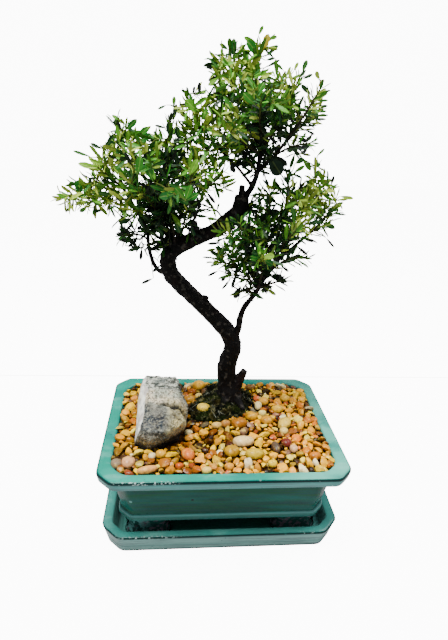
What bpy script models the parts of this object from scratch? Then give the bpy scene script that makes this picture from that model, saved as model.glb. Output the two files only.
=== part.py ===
# A boxleaf eugenia bonsai in its glazed pot on a matching tray.
# The tray stands on z = 0 with the origin under its middle. +X runs along the pot, -Y is the front.
# Sizes below are in millimetres, and the meshes are made in metres.

import math
import random

import bmesh
import bpy
from mathutils import Matrix, Vector, noise
from mathutils.bvhtree import BVHTree

MM = 0.001
GAP = 0.3               # clearance between pieces that touch
SEED = 41

POT_LENGTH = 216.0      # over the rim
POT_WIDTH = 165.0
POT_TOP = 85.0          # rim above the table
POT_BOTTOM = 30.0       # underside, between the feet
POT_FLOOR = 36.0        # inside
BODY_TAPER = 12.0       # how far the body stands in from the rim just below it
LEDGE_TAPER = 17.5      # the same above the foot band
RIM_WIDTH = 9.0
RIM_CUT = 12.6          # cut corners
RIM_BAND = 9.0          # height of the rim's outer face
FOOT_LENGTH = 44.0
FOOT_WIDTH = 19.0
DRAIN_HOLE = 14.0
DRAIN_SPREAD = 45.0     # drain holes from the middle

TRAY_LENGTH = 214.0
TRAY_WIDTH = 154.0
TRAY_HEIGHT = 20.0
TRAY_FLOOR = 6.0
TRAY_CUT = 15.6

SOIL_TOP = 74.0
GRAVEL_EDGE = 81.0      # level of the bed along the rim
GRAVEL_CROWN = 84.5     # level of the bed round the moss
PEBBLE_SIZES = (18.0, 15.5, 13.0)
PEBBLE_TRIES = 1500     # for each size
PEBBLE_SPACING = 0.94   # of the mean of two sizes
SCREEN_SIZE = 24.0
SCREEN_THICK = 0.8

TRUNK_X = 11.0          # of the rooted stump
TRUNK_Y = 30.0
TRUNK_FOOT = 60.0       # its lowest point, in the soil
STUMP_RADIUS = 11.0
MOSS_TOP = 93.0
MOSS_RADII = (32.0, 27.0)

ROCK_CENTRE = (-54.5, -2.0)
ROCK_RADII = (23.0, 37.0)
ROCK_FOOT = 78.0
ROCK_TOP = 120.0

LEAF_LENGTHS = (14.0, 19.0)
LEAF_WIDTH = 0.34       # of the length
LEAF_THICK = 0.9
PAIR_SPACING = 15.5     # between pairs of leaves on a shoot
SIDE_SHOOT = 20.0
SIDE_SHOOT_FROM = (30.0, 66.0)      # a shoot this long bears one, two
TWIG_TIP = 0.5          # radius
CLEARANCE = 0.45        # kept round a leaf or a side shoot

# Trunk from the soil to the cut top: x, y, z, radius
TRUNK = [
    (TRUNK_X, TRUNK_Y, TRUNK_FOOT, 10.5), (TRUNK_X, TRUNK_Y, 90, STUMP_RADIUS), (9, 30.5, 104, 8.8),
    (7, 31, 118, 7.8), (6.5, 31, 132, 9.0), (10.5, 30.5, 147, 8.3), (9.5, 30.5, 157, 8.2),
    (3, 31, 169, 8.0), (-17, 33, 189, 7.3),
    (-38, 36, 208, 7.2), (-51, 38, 223, 7.4), (-53, 38, 238, 7.2), (-43, 36, 248, 7.0), (-28, 35, 256, 6.3),
    (-14, 33, 263, 6.2), (-1, 32, 273, 6.8), (8, 31, 283, 6.6), (9, 30, 295, 6.0),
]

# Short dead stubs and knobs on the trunk
STUBS = [
    [(11, 30, 104, 5.0), (18, 29.5, 117, 3.6), (22.5, 29, 126, 3.0)],
    [(-22, 33, 190, 4.5), (-17.5, 33, 202, 3.0)],
    [(-37, 36, 206, 4.5), (-35, 36, 215, 2.6)],
    [(-29, 35, 256, 4.0), (-31, 35, 271, 2.8)],
    [(8, 30, 288, 2.8), (9, 30, 304, 2.4)],
]

# Bearing limbs: the limb's points, then how many of them are old wood, then its radius at the start.
# The rest of each line is the young shoot that carries the leaves.
LIMBS = {
    "left_far": ([(-54, 38, 222), (-61, 39, 223), (-67, 41, 231), (-71, 44, 245), (-72, 45, 258),
                  (-77, 45, 269), (-88, 47, 281), (-103, 48, 292), (-126, 49, 296), (-149, 49, 292)], 8, 2.2),
    "left_outer": ([(-77, 45, 269), (-84, 38, 284), (-94, 28, 300), (-110, 24, 313), (-124, 21, 324)], 2, 1.4),
    "left_high": ([(-50, 37, 245), (-56, 39, 260), (-64, 41, 280), (-73, 41, 302), (-84, 41, 325),
                   (-91, 39, 340), (-96, 37, 355)], 4, 2.2),
    "left_mid": ([(-51, 39, 246), (-55, 43, 266), (-60, 47, 287), (-66, 54, 315), (-70, 60, 343)], 2, 1.9),
    "left_tall": ([(-49, 36, 248), (-52, 34, 275), (-56, 33, 302), (-54, 31, 338), (-50, 27, 371)], 2, 1.9),
    "left_inner": ([(-43, 36, 250), (-40, 39, 266), (-35, 41, 282), (-22, 39, 301), (-5, 37, 317)], 2, 1.8),
    "left_fore": ([(-46, 35, 249), (-44, 28, 272), (-41, 18, 296), (-32, 7, 316), (-21, -4, 332)], 2, 1.8),
    "left_low": ([(-71, 44, 250), (-77, 38, 256), (-88, 29, 258), (-99, 20, 256)], 2, 1.2),
    "left_near": ([(-50, 34, 246), (-56, 24, 266), (-66, 10, 288), (-76, -5, 299), (-83, -19, 305)], 2, 1.7),
    "left_front": ([(-47, 33, 248), (-49, 24, 266), (-52, 11, 286), (-52, -6, 303), (-50, -23, 314)], 2, 1.7),
    "left_rear": ([(-50, 41, 246), (-55, 53, 263), (-62, 66, 281), (-72, 83, 294), (-82, 99, 301)], 2, 1.7),
    "left_back": ([(-44, 40, 250), (-43, 52, 263), (-42, 64, 278), (-34, 78, 297), (-25, 90, 314)], 2, 1.7),
    "left_sprig": ([(-5, 32, 272), (-10, 30, 280), (-17, 29, 284), (-24, 28, 285)], 2, 0.9),
    "top_mid": ([(8, 30.5, 287), (14, 30, 297), (20, 29, 311), (21.5, 29, 328), (19, 29, 350),
                 (15, 30, 372), (13, 30, 397), (14, 30, 420)], 6, 3.0),
    "top_left": ([(20, 29, 345), (11, 27, 357), (2, 26, 369), (-5, 26, 387), (-10, 25, 407)], 2, 1.5),
    "top_right": ([(21.5, 29, 325), (30, 28, 345), (38, 27, 363), (44, 24, 380), (50, 21, 399)], 2, 1.7),
    "top_edge": ([(21, 29, 316), (34, 27, 330), (44, 24, 345), (52, 20, 359), (59, 16, 374), (66, 12, 389)],
                 4, 1.7),
    "top_side": ([(33, 27.5, 329), (44, 34, 340), (55, 40, 351), (69, 44, 361), (83, 47, 366)], 2, 1.3),
    "top_low": ([(30, 27.5, 326), (38, 21, 333), (46, 13, 338), (57, 5, 341), (67, -2, 341)], 2, 1.3),
    "top_rim": ([(20.5, 30, 337), (9, 35, 350), (-2, 40, 362), (-13, 42, 376), (-23, 44, 388)], 2, 1.5),
    "top_far": ([(17, 29.5, 304), (5, 31, 317), (-8, 32, 328), (-24, 34, 342), (-39, 36, 355), (-53, 38, 366)],
                4, 1.4),
    "top_inner": ([(21, 28, 330), (12, 22, 335), (3, 16, 339), (-10, 10, 343), (-24, 4, 347)], 2, 1.4),
    "top_front": ([(21, 28, 335), (19, 15, 345), (15, 2, 354), (12, -14, 364), (10, -30, 372)], 2, 1.5),
    "top_rear": ([(21, 30, 337), (21, 45, 348), (20, 59, 361), (16, 71, 378), (11, 83, 396)], 2, 1.5),
    "top_back": ([(21.5, 30, 331), (30, 43, 344), (37, 55, 356), (49, 68, 370), (62, 80, 383)], 2, 1.5),
    "right_edge": ([(9, 30.5, 158), (14.5, 30, 169), (15.5, 30, 180), (18, 30, 191), (24, 29, 201),
                    (30, 28, 211), (37, 27, 226), (49, 26, 244), (62, 25, 257), (74, 24, 269),
                    (84, 22, 284), (104, 20, 299)], 10, 3.5),
    "right_left": ([(30, 28, 212), (20, 27, 223), (10, 25, 233), (-6, 22, 238), (-22, 19, 239)], 2, 1.5),
    "right_mid": ([(31, 28, 214), (34, 26, 236), (34, 23, 259), (32, 20, 286), (31, 18, 312)], 2, 1.8),
    "right_tall": ([(33, 28, 220), (41, 31, 248), (48, 33, 276), (49, 34, 305), (48, 34, 334)], 2, 1.7),
    "right_high": ([(41, 27, 233), (52, 26, 254), (60, 25, 276), (64, 22, 302), (67, 19, 328)], 2, 1.6),
    "right_side": ([(57, 25.5, 252), (67, 31, 260), (78, 37, 266), (90, 42, 270), (101, 45, 271)], 2, 1.3),
    "right_low": ([(37, 27, 226), (44, 21, 237), (51, 13, 245), (61, 4, 249), (71, -5, 250)], 2, 1.3),
    "right_inner": ([(30, 29, 216), (27, 33, 234), (22, 37, 252), (13, 40, 269), (4, 43, 285)], 2, 1.5),
    "right_front": ([(30, 26, 214), (29, 13, 230), (26, 0, 245), (20, -15, 259), (14, -28, 271)], 2, 1.5),
    "right_rear": ([(32, 30, 215), (37, 43, 228), (40, 56, 243), (39, 70, 262), (37, 83, 280)], 2, 1.5),
    "right_near": ([(38, 27, 228), (41, 14, 246), (44, 0, 263), (48, -14, 275), (52, -27, 284)], 2, 1.5),
    "right_under": ([(32, 28, 213), (41, 26, 218), (50, 23, 222), (59, 20, 224)], 2, 1.1),
    "right_drop": ([(27, 28.5, 207), (19, 27, 210), (11, 25, 209)], 2, 1.1),
}

COLOURS = {
    "glaze": (0.06, 0.30, 0.26, 0.2, 0.0),
    "soil": (0.03, 0.02, 0.013, 0.95, 0.0),
    "screen": (0.02, 0.02, 0.02, 0.6, 0.0),
    "gravel": (0.55, 0.34, 0.14, 0.35, 0.0),
    "moss": (0.02, 0.035, 0.01, 0.95, 0.0),
    "rock": (0.27, 0.27, 0.25, 0.8, 0.0),
    "bark": (0.025, 0.017, 0.014, 0.85, 0.0),
    "leaf": (0.08, 0.20, 0.03, 0.4, 0.0),
}


def clear_scene():
    for old in list(bpy.data.objects):
        bpy.data.objects.remove(old, do_unlink=True)


def make_collection(name):
    collection = bpy.data.collections.new(name)
    bpy.context.scene.collection.children.link(collection)
    return collection


def make_material(name):
    red, green, blue, roughness, metallic = COLOURS[name]
    material = bpy.data.materials.new(name)
    material.use_nodes = True
    shader = material.node_tree.nodes["Principled BSDF"]
    shader.inputs["Base Color"].default_value = (red, green, blue, 1.0)
    shader.inputs["Roughness"].default_value = roughness
    shader.inputs["Metallic"].default_value = metallic
    return material


def add_object(name, mesh, collection):
    obj = bpy.data.objects.new(name, mesh)
    collection.objects.link(obj)
    return obj


def mesh_object(name, points, faces, collection):
    mesh = bpy.data.meshes.new(name)
    mesh.from_pydata([Vector(point) * MM for point in points], [], faces)
    return add_object(name, mesh, collection)


def finish(obj, material, smooth_angle=None):
    obj.data.materials.clear()
    obj.data.materials.append(material)
    if smooth_angle:
        obj.data.shade_smooth()
        obj.data.set_sharp_from_angle(angle=math.radians(smooth_angle))
    return obj


# Loft of cut-cornered rectangles

def cut_rectangle(half_x, half_y, cut, z):
    soften = cut * 0.22
    corners = []
    for sign_x, sign_y in ((1, 1), (-1, 1), (-1, -1), (1, -1)):
        pair = [(sign_x * half_x, sign_y * (half_y - cut)), (sign_x * (half_x - cut), sign_y * half_y)]
        corners += pair if sign_x * sign_y > 0 else pair[::-1]
    ring = []
    for i, corner in enumerate(corners):
        here = Vector(corner)
        before = here + (Vector(corners[i - 1]) - here).normalized() * soften
        after = here + (Vector(corners[(i + 1) % 8]) - here).normalized() * soften
        ring += [(point.x, point.y, z) for point in (before, after)]
    return ring


def loft(name, rings, collection):
    count = len(rings[0])
    points = [point for ring in rings for point in ring]
    faces = []
    for level in range(len(rings) - 1):
        low = level * count
        high = low + count
        for i in range(count):
            j = (i + 1) % count
            faces.append((low + i, low + j, high + j, high + i))
    faces.append(tuple(reversed(range(count))))
    faces.append(tuple(range(len(points) - count, len(points))))
    return mesh_object(name, points, faces, collection)


# Booleans

def apply_boolean(obj, operation, others, solver="EXACT"):
    modifier = obj.modifiers.new("boolean", "BOOLEAN")
    modifier.operation = operation
    modifier.operand_type = "COLLECTION"
    modifier.collection = others
    modifier.solver = solver
    result = bpy.data.meshes.new_from_object(obj.evaluated_get(bpy.context.evaluated_depsgraph_get()))
    obj.modifiers.clear()
    obj.data = result
    for other in list(others.objects):
        bpy.data.objects.remove(other, do_unlink=True)


def cylinder(name, radius, low, high, x, y, collection, sides=16):
    mesh = bpy.data.meshes.new(name)
    shape = bmesh.new()
    bmesh.ops.create_cone(shape, cap_ends=True, segments=sides, radius1=radius * MM, radius2=radius * MM,
                          depth=(high - low) * MM)
    bmesh.ops.translate(shape, verts=shape.verts, vec=Vector((x, y, (low + high) / 2)) * MM)
    shape.to_mesh(mesh)
    shape.free()
    return add_object(name, mesh, collection)


# Pot and tray

def tray(parts):
    half_x = TRAY_LENGTH / 2
    half_y = TRAY_WIDTH / 2
    profile = [      # inset from the rim's outer edge, z
        (5.0, 0.0), (4.2, 0.8), (0.6, TRAY_HEIGHT - 2.2), (0.0, TRAY_HEIGHT - 1.2), (1.0, TRAY_HEIGHT),
        (7.8, TRAY_HEIGHT), (8.6, TRAY_HEIGHT - 0.8), (12.6, TRAY_FLOOR + 1.6), (14.6, TRAY_FLOOR),
    ]
    rings = []
    for inset, z in profile:
        rings.append(cut_rectangle(half_x - inset, half_y - inset * 0.9, TRAY_CUT - inset * 0.5, z))
    return loft("tray", rings, parts)


def pot_inner_inset(z):
    # Inset of the pot's inner wall from the rim's outer edge
    slope = (LEDGE_TAPER + 6.0 - (BODY_TAPER + 4.5)) / (POT_TOP - 8.0 - POT_FLOOR)
    return BODY_TAPER + 4.5 + slope * (POT_TOP - 8.0 - z)


def pot_ring(inset, z):
    return cut_rectangle(POT_LENGTH / 2 - inset, POT_WIDTH / 2 - inset * 0.85, RIM_CUT - inset * 0.15, z)


def pot(parts, tools):
    profile = [
        (LEDGE_TAPER + 0.5, POT_BOTTOM), (LEDGE_TAPER - 1.4, POT_BOTTOM + 1.0),
        (LEDGE_TAPER - 1.8, POT_BOTTOM + 6.2), (LEDGE_TAPER, POT_BOTTOM + 7.4), (BODY_TAPER, POT_TOP - 12.0),
        (BODY_TAPER - 1.4, POT_TOP - RIM_BAND - 0.4), (2.0, POT_TOP - RIM_BAND),
        (0.9, POT_TOP - RIM_BAND + 1.0), (0.0, POT_TOP - 1.4), (1.2, POT_TOP),
        (RIM_WIDTH - 1.2, POT_TOP - 0.4), (RIM_WIDTH, POT_TOP - 1.4), (RIM_WIDTH + 0.8, POT_TOP - 4.0),
        (pot_inner_inset(POT_TOP - 8.0), POT_TOP - 8.0), (pot_inner_inset(POT_FLOOR + 2), POT_FLOOR + 2.0),
        (pot_inner_inset(POT_FLOOR) + 2.5, POT_FLOOR),
    ]
    body = loft("pot", [pot_ring(inset, z) for inset, z in profile], parts)
    for sign_x in (-1, 1):
        for sign_y in (-1, 1):
            foot(sign_x, sign_y, tools)
    apply_boolean(body, "UNION", tools)
    for sign_x in (-1, 1):
        cylinder("drain", DRAIN_HOLE / 2, POT_BOTTOM - 5, POT_FLOOR + 5, sign_x * DRAIN_SPREAD, 0, tools, 12)
    apply_boolean(body, "DIFFERENCE", tools)
    return body


def foot(sign_x, sign_y, tools):
    # A bracket foot, wide where it meets the pot and pinched above its pad
    low = TRAY_FLOOR + GAP
    centre_x = sign_x * (POT_LENGTH / 2 - LEDGE_TAPER - FOOT_LENGTH / 2 - 2.0)
    centre_y = sign_y * (POT_WIDTH / 2 - LEDGE_TAPER * 0.85 - FOOT_WIDTH / 2 - 2.0)
    levels = [(0.86, 0.70, low), (0.94, 0.84, low + 2.5), (0.94, 0.84, low + 7.0), (0.84, 0.72, low + 12.0),
              (0.92, 0.88, low + 18.0), (1.0, 1.0, POT_BOTTOM + 2.0)]
    rings = []
    for scale_x, scale_y, z in levels:
        ring = cut_rectangle(FOOT_LENGTH / 2 * scale_x, FOOT_WIDTH / 2 * scale_y, 4.5, z)
        rings.append([(x + centre_x, y + centre_y, z) for x, y, z in ring[::2]])
    return loft("foot", rings, tools)


def drain_screen(name, x, parts):
    # Square of coarse plastic net over a drain hole
    bpy.ops.mesh.primitive_grid_add(x_subdivisions=2, y_subdivisions=2, size=(SCREEN_SIZE - 2.0) * MM,
                                    location=(0, 0, 0))
    net = bpy.context.object
    net.name = name
    for owner in list(net.users_collection):
        owner.objects.unlink(net)
    parts.objects.link(net)
    wire = net.modifiers.new("net", "WIREFRAME")
    wire.thickness = SCREEN_THICK * MM
    wire.use_boundary = True
    wire.use_even_offset = False
    result = bpy.data.meshes.new_from_object(net.evaluated_get(bpy.context.evaluated_depsgraph_get()))
    net.modifiers.clear()
    net.data = result
    lowest = min(vertex.co.z for vertex in result.vertices)
    result.transform(Matrix.Translation(Vector((x * MM, 0, (POT_FLOOR + GAP) * MM - lowest))))
    return net


# Soil, gravel and moss

def soil(parts, tools):
    rings = []
    for z in (POT_FLOOR + GAP, POT_FLOOR + 2.0 + GAP, SOIL_TOP):
        foot_inset = 2.9 if z < POT_FLOOR + 1 else GAP + 0.1
        rings.append(pot_ring(pot_inner_inset(z) + foot_inset, z))
    body = loft("soil", rings, parts)
    for sign in (-1, 1):
        side = SCREEN_SIZE / 2 + GAP
        low = POT_FLOOR - 1
        high = POT_FLOOR + SCREEN_THICK + 3 * GAP
        ring = [(side, -side), (side, side), (-side, side), (-side, -side)]
        loft("pocket", [[(x + sign * DRAIN_SPREAD, y, z) for x, y in ring] for z in (low, high)], tools)
    cylinder("stump_hole", STUMP_RADIUS + GAP, TRUNK_FOOT - GAP, SOIL_TOP + 5, TRUNK_X, TRUNK_Y, tools)
    apply_boolean(body, "DIFFERENCE", tools)
    return body


def moss_outline(z, radii):
    ring = []
    for i in range(20):
        angle = i * math.tau / 20
        ripple = 1 + 0.07 * math.sin(3 * angle + 0.8) + 0.05 * math.sin(5 * angle)
        x = TRUNK_X - 5.0 + radii[0] * ripple * math.cos(angle)
        y = TRUNK_Y - 1.0 + radii[1] * ripple * math.sin(angle)
        ring.append((x, y, z))
    return ring


def moss(parts, tools):
    # Mound of moss on the soil round the stump, its surface raised in tufts
    shape = [(1.0, SOIL_TOP + GAP), (1.0, 82.5), (0.86, 87.0), (0.66, 90.5), (0.46, MOSS_TOP)]
    rings = []
    for scale, z in shape:
        ring = moss_outline(z, (MOSS_RADII[0] * scale, MOSS_RADII[1] * scale))
        if z > 85:
            ring = [(x, y, z + 1.6 * noise.noise(Vector((x, y, 0)) * 0.35)) for x, y, z in ring]
        rings.append(ring)
    body = loft("moss", rings, parts)
    cylinder("stump_hole", STUMP_RADIUS + 2 * GAP, SOIL_TOP - 5, MOSS_TOP + 9, TRUNK_X, TRUNK_Y, tools)
    apply_boolean(body, "DIFFERENCE", tools)
    return body


def bed_level(x, y):
    away = math.hypot((x - TRUNK_X) / 95.0, (y - TRUNK_Y) / 85.0)
    return GRAVEL_CROWN - (GRAVEL_CROWN - GRAVEL_EDGE) * min(1.0, away)


def on_gravel(x, y, reach):
    half_x = POT_LENGTH / 2 - RIM_WIDTH - 1.6
    half_y = POT_WIDTH / 2 - RIM_WIDTH * 0.85 - 1.6
    if abs(x) > half_x - reach or abs(y) > half_y - reach:
        return False
    if abs(x) + abs(y) > half_x + half_y - RIM_CUT - reach * 1.2:
        return False
    moss_x = (x - TRUNK_X + 5.0) / (MOSS_RADII[0] + reach * 0.5)
    moss_y = (y - TRUNK_Y + 1.0) / (MOSS_RADII[1] + reach * 0.5)
    if math.hypot(moss_x, moss_y) < 1:
        return False
    rock_x = abs((x - ROCK_CENTRE[0]) / (ROCK_RADII[0] + reach * 0.4))
    rock_y = abs((y - ROCK_CENTRE[1]) / (ROCK_RADII[1] + reach * 0.4))
    return rock_x ** 4 + rock_y ** 4 > 1


def pebble(x, y, size, draw, tools):
    mesh = bpy.data.meshes.new("pebble")
    shape = bmesh.new()
    bmesh.ops.create_icosphere(shape, subdivisions=1, radius=size / 2 * MM)
    stretch = Matrix.Diagonal((draw.uniform(1.0, 1.25), draw.uniform(0.8, 1.0), draw.uniform(0.55, 0.75), 1))
    turn = Matrix.Rotation(draw.uniform(0, math.tau), 4, "Z")
    turn = turn @ Matrix.Rotation(draw.uniform(-0.25, 0.25), 4, "X")
    place = Matrix.Translation(Vector((x, y, bed_level(x, y) + draw.uniform(0.2, 1.2))) * MM)
    bmesh.ops.transform(shape, matrix=place @ turn @ stretch, verts=shape.verts)
    shape.to_mesh(mesh)
    shape.free()
    return add_object("pebble", mesh, tools)


def gravel(parts, tools):
    draw = random.Random(SEED)
    low = SOIL_TOP + GAP
    neck = POT_TOP - 8.0
    edge = RIM_WIDTH + 0.8 + GAP + 0.1
    clearance = GAP + 0.1
    basin = [pot_ring(pot_inner_inset(low) + clearance, low),
             pot_ring(pot_inner_inset(neck) + clearance, neck - 0.2), pot_ring(edge, GRAVEL_EDGE)]
    rings = list(basin)
    for scale in (0.7, 0.42):
        wide = [(x * scale + TRUNK_X * (1 - scale), y * scale + TRUNK_Y * (1 - scale)) for x, y, z in basin[2]]
        rings.append([(x, y, bed_level(x, y)) for x, y in wide])
    bed = loft("gravel", rings, parts)
    placed = []
    for size in PEBBLE_SIZES:
        for _ in range(PEBBLE_TRIES):
            x = draw.uniform(-POT_LENGTH / 2, POT_LENGTH / 2)
            y = draw.uniform(-POT_WIDTH / 2, POT_WIDTH / 2)
            if not on_gravel(x, y, size * 0.45):
                continue
            reach = PEBBLE_SPACING / 2
            if all(math.hypot(x - px, y - py) > reach * (size + other) for px, py, other in placed):
                placed.append((x, y, size))
                pebble(x, y, size, draw, tools)
    apply_boolean(bed, "UNION", tools)
    outline = moss_outline(0, (MOSS_RADII[0] + GAP, MOSS_RADII[1] + GAP))
    loft("moss_hole", [[(x, y, z) for x, y, _ in outline] for z in (low - 5, MOSS_TOP + 9)], tools)
    rock_shape("rock_seat", tools, GAP)
    apply_boolean(bed, "DIFFERENCE", tools)
    loft("basin", basin + [pot_ring(edge, MOSS_TOP + 9)], tools)
    apply_boolean(bed, "INTERSECT", tools)
    return bed


# Rock

def rock_shape(name, collection, grow=0.0):
    # Blocky boulder: flat cleft face on the left, level top at the back, round shoulder at the front
    levels = [      # z, half width, front reach, back reach
        (ROCK_FOOT, 18.0, 31.0, 31.0), (84.0, 21.5, 35.0, 34.0), (93.0, 23.5, 38.0, 35.0),
        (102.0, 23.5, 37.5, 35.0), (110.0, 22.0, 33.0, 34.0), (117.0, 19.5, 27.0, 32.0),
        (ROCK_TOP, 16.5, 21.0, 29.0),
    ]
    rings = []
    for z, half, front, back in levels:
        ring = []
        for i in range(16):
            angle = (i + 0.5) * math.tau / 16
            along = math.copysign(abs(math.sin(angle)) ** 0.5, math.sin(angle))
            across = math.copysign(abs(math.cos(angle)) ** 0.5, math.cos(angle))
            reach = back if along > 0 else front
            bulge = 1.0 if along > 0 else 1.06 if across > 0 else 0.96
            x, y, level = weather(ROCK_CENTRE[0] + across * half * bulge, ROCK_CENTRE[1] + along * reach, z)
            ring.append((x + 1.5 * grow * across, y + 1.5 * grow * along, level))
        rings.append(ring)
    rings[0] = [(x, y, ROCK_FOOT - grow) for x, y, z in rings[0]]
    return loft(name, rings, collection)


def weather(x, y, z):
    chip = 3.0 * noise.noise(Vector((x, y, z)) * 0.05)
    cleft = ROCK_CENTRE[0] - ROCK_RADII[0] + 1.0 + 0.10 * (z - ROCK_FOOT)
    drop = 0.12 * max(0.0, -12.0 - y) if z > 112 else 0.0
    return max(x + chip, cleft), y + chip, z - drop


# Wood

def smooth_line(points, steps):
    # Catmull-Rom through the points; a fourth number, the radius, is carried along
    line = []
    for i in range(len(points) - 1):
        before = Vector(points[max(i - 1, 0)])
        start = Vector(points[i])
        end = Vector(points[i + 1])
        after = Vector(points[min(i + 2, len(points) - 1)])
        for k in range(steps):
            t = k / steps
            line.append((start * 2 + (end - before) * t + (before * 2 - start * 5 + end * 4 - after) * t ** 2
                         + (start * 3 - before - end * 3 + after) * t ** 3) / 2)
    line.append(Vector(points[-1]))
    return line


def branch(name, line, resolution, collection, grow=0.0):
    curve = bpy.data.curves.new(name, "CURVE")
    curve.dimensions = "3D"
    curve.bevel_depth = MM
    curve.bevel_resolution = resolution
    curve.use_fill_caps = True
    spline = curve.splines.new("POLY")
    spline.points.add(len(line) - 1)
    for target, point in zip(spline.points, line):
        target.co = (point[0] * MM, point[1] * MM, point[2] * MM, 1)
        target.radius = point[3] + grow
    wire = add_object(name, curve, collection)
    mesh = bpy.data.meshes.new_from_object(wire.evaluated_get(bpy.context.evaluated_depsgraph_get()))
    bpy.data.objects.remove(wire, do_unlink=True)
    shape = bmesh.new()
    shape.from_mesh(mesh)
    bmesh.ops.remove_doubles(shape, verts=shape.verts, dist=0.00001)
    shape.to_mesh(mesh)
    shape.free()
    return add_object(name, mesh, collection)


def split_limb(name):
    # The old wood ends flat, and the shoot goes on in line after a small gap
    points, old, radius = LIMBS[name]
    thin = TWIG_TIP + 0.5
    route = []
    for i, point in enumerate(points):
        if i < old:
            route.append((*point, radius + (thin - radius) * i / (old - 1)))
        else:
            share = (i - old + 1) / (len(points) - old)
            route.append((*point, thin + (TWIG_TIP - thin) * share))
    line = [Vector(point) for point in route]
    seat = line[old - 1].to_3d()
    ahead = (line[old].to_3d() - seat).normalized()
    behind = (seat - line[old - 2].to_3d()).normalized()
    start = seat + ahead * (GAP + thin * math.sin(ahead.angle(behind)))
    wood = line[:old]
    shoot = [Vector((*start, thin))] + line[old:]
    return wood, shoot


def tree_wood(parts, tools):
    trunk = branch("tree_wood", smooth_line(TRUNK, 2), 2, parts)
    for stub in STUBS:
        branch("stub", [Vector(point) for point in stub], 1, tools)
    for name in LIMBS:
        wood = split_limb(name)[0]
        branch("limb", wood, 1 if LIMBS[name][2] > 2.5 else 0, tools)
    apply_boolean(trunk, "UNION", tools)
    return trunk


# Leaves

def leaf(base, along, up, length, grow=0.0):
    # Spoon-shaped blade with a flat underside and a raised midrib, its blunt tip bent down
    width = length * LEAF_WIDTH / 2 + 2.5 * grow
    side = up.cross(along).normalized()
    rise = length * 0.07
    root = base - along * grow - up * grow
    rib = base + along * length * 0.55 + up * (rise + LEAF_THICK + grow)
    points = [root, rib]
    for reach, spread, height in ((0.62, 1.0, rise), (0.97, 0.42, -rise)):
        middle = base + along * (reach * length + (grow if reach > 0.9 else 0.0)) + up * (height - 0.6 * grow)
        points += [middle + side * width * spread, middle - side * width * spread]
    root, rib, left, right, left_tip, right_tip = range(6)
    faces = [
        (root, left, right), (left, right_tip, right), (left, left_tip, right_tip),
        (root, rib, left), (left, rib, left_tip), (left_tip, rib, right_tip),
        (right_tip, rib, right), (right, rib, root),
    ]
    return points, faces


def tree_of(points, faces):
    return BVHTree.FromPolygons([Vector(point) for point in points], faces)


def tree_of_object(obj):
    points = [vertex.co / MM for vertex in obj.data.vertices]
    return tree_of(points, [tuple(face.vertices) for face in obj.data.polygons])


def line_length(line):
    return sum((line[i + 1] - line[i]).to_3d().length for i in range(len(line) - 1))


def frame_at(line, reach):
    # Point and direction at a share of the line's length
    target = reach * line_length(line)
    for i in range(len(line) - 1):
        span = (line[i + 1] - line[i]).to_3d()
        if target <= span.length or i == len(line) - 2:
            share = min(target / span.length, 1.0)
            return line[i].lerp(line[i + 1], share).to_3d(), span.normalized()
        target -= span.length


def clear_of(candidate, trees):
    return not any(candidate.overlap(tree) for tree in trees)


def radial_at(direction, turn):
    level = Vector((0, 0, 1)) if abs(direction.z) < 0.9 else Vector((1, 0, 0))
    return Matrix.Rotation(turn, 3, direction) @ direction.cross(level).normalized()


def side_shoot_tries(shoot, draw):
    # For each side shoot, the ways it may leave the leaf axil
    count = sum(line_length(shoot) >= needed for needed in SIDE_SHOOT_FROM)
    for i in range(count):
        base, direction = frame_at(shoot, 0.3 + 0.3 * i)
        turn = draw.uniform(0, math.tau)
        tries = []
        for step in range(12):
            heading = (direction * 0.9 + radial_at(direction, turn + step * 0.52) * 0.8).normalized()
            middle = base + heading * SIDE_SHOOT / 2
            end = base + heading * SIDE_SHOOT * draw.uniform(0.85, 1.15) + Vector((0, 0, 2.5))
            tries.append([Vector((*base, 0.75)), Vector((*middle, 0.65)), Vector((*end, TWIG_TIP))])
        yield tries


def fits(line, trees, collection):
    # The shoot is clear if a thicker one, from just outside its axil, touches nothing
    wide = branch("test", [line[0].lerp(line[1], 0.35), *line[1:]], 0, collection, CLEARANCE)
    candidate = tree_of_object(wide)
    bpy.data.objects.remove(wide, do_unlink=True)
    return clear_of(candidate, trees)


def make_shoots(wood_tree, tools):
    # All the shoots come first, so that every leaf can be bent clear of them
    draw = random.Random(SEED + 1)
    sprays = {}
    for name in LIMBS:
        shoot = split_limb(name)[1]
        stem = branch(name, shoot, 0, tools)
        sprays[name] = {"lines": [shoot], "stems": [stem], "trees": [tree_of_object(stem)], "leaves": []}
    for name, spray in sprays.items():
        for tries in side_shoot_tries(spray["lines"][0], draw):
            stem_trees = [tree for other in sprays.values() for tree in other["trees"]]
            line = next((line for line in tries if fits(line, [wood_tree] + stem_trees, tools)), None)
            if line:
                stem = branch(name, line, 0, tools)
                spray["lines"].append(line)
                spray["stems"].append(stem)
                spray["trees"].append(tree_of_object(stem))
    return sprays


def leaf_sites(line, draw):
    # Opposite pairs, each turned a quarter from the last, the last pair at the tip
    pairs = max(1, round(line_length(line) / PAIR_SPACING) - 1)
    turn = draw.uniform(0, math.tau)
    sites = []
    for i in range(pairs + 1):
        reach = min(0.985, (i + 0.9) / (pairs + 0.9))
        for side in (0, math.pi):
            sites.append((reach, turn + side + draw.uniform(-0.3, 0.3)))
        turn += math.pi / 2
    return sites


def leaf_pose(direction, reach, turn, draw):
    # The blade leans out from the shoot, less towards its tip, with its face turned up
    spread = 1.25 - 0.75 * reach + draw.uniform(-0.15, 0.15)
    along = (direction + radial_at(direction, turn) * spread).normalized()
    up = (direction - along * direction.dot(along)).normalized() + Vector((0, 0, 0.6))
    return along, (up - along * up.dot(along)).normalized()


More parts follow.
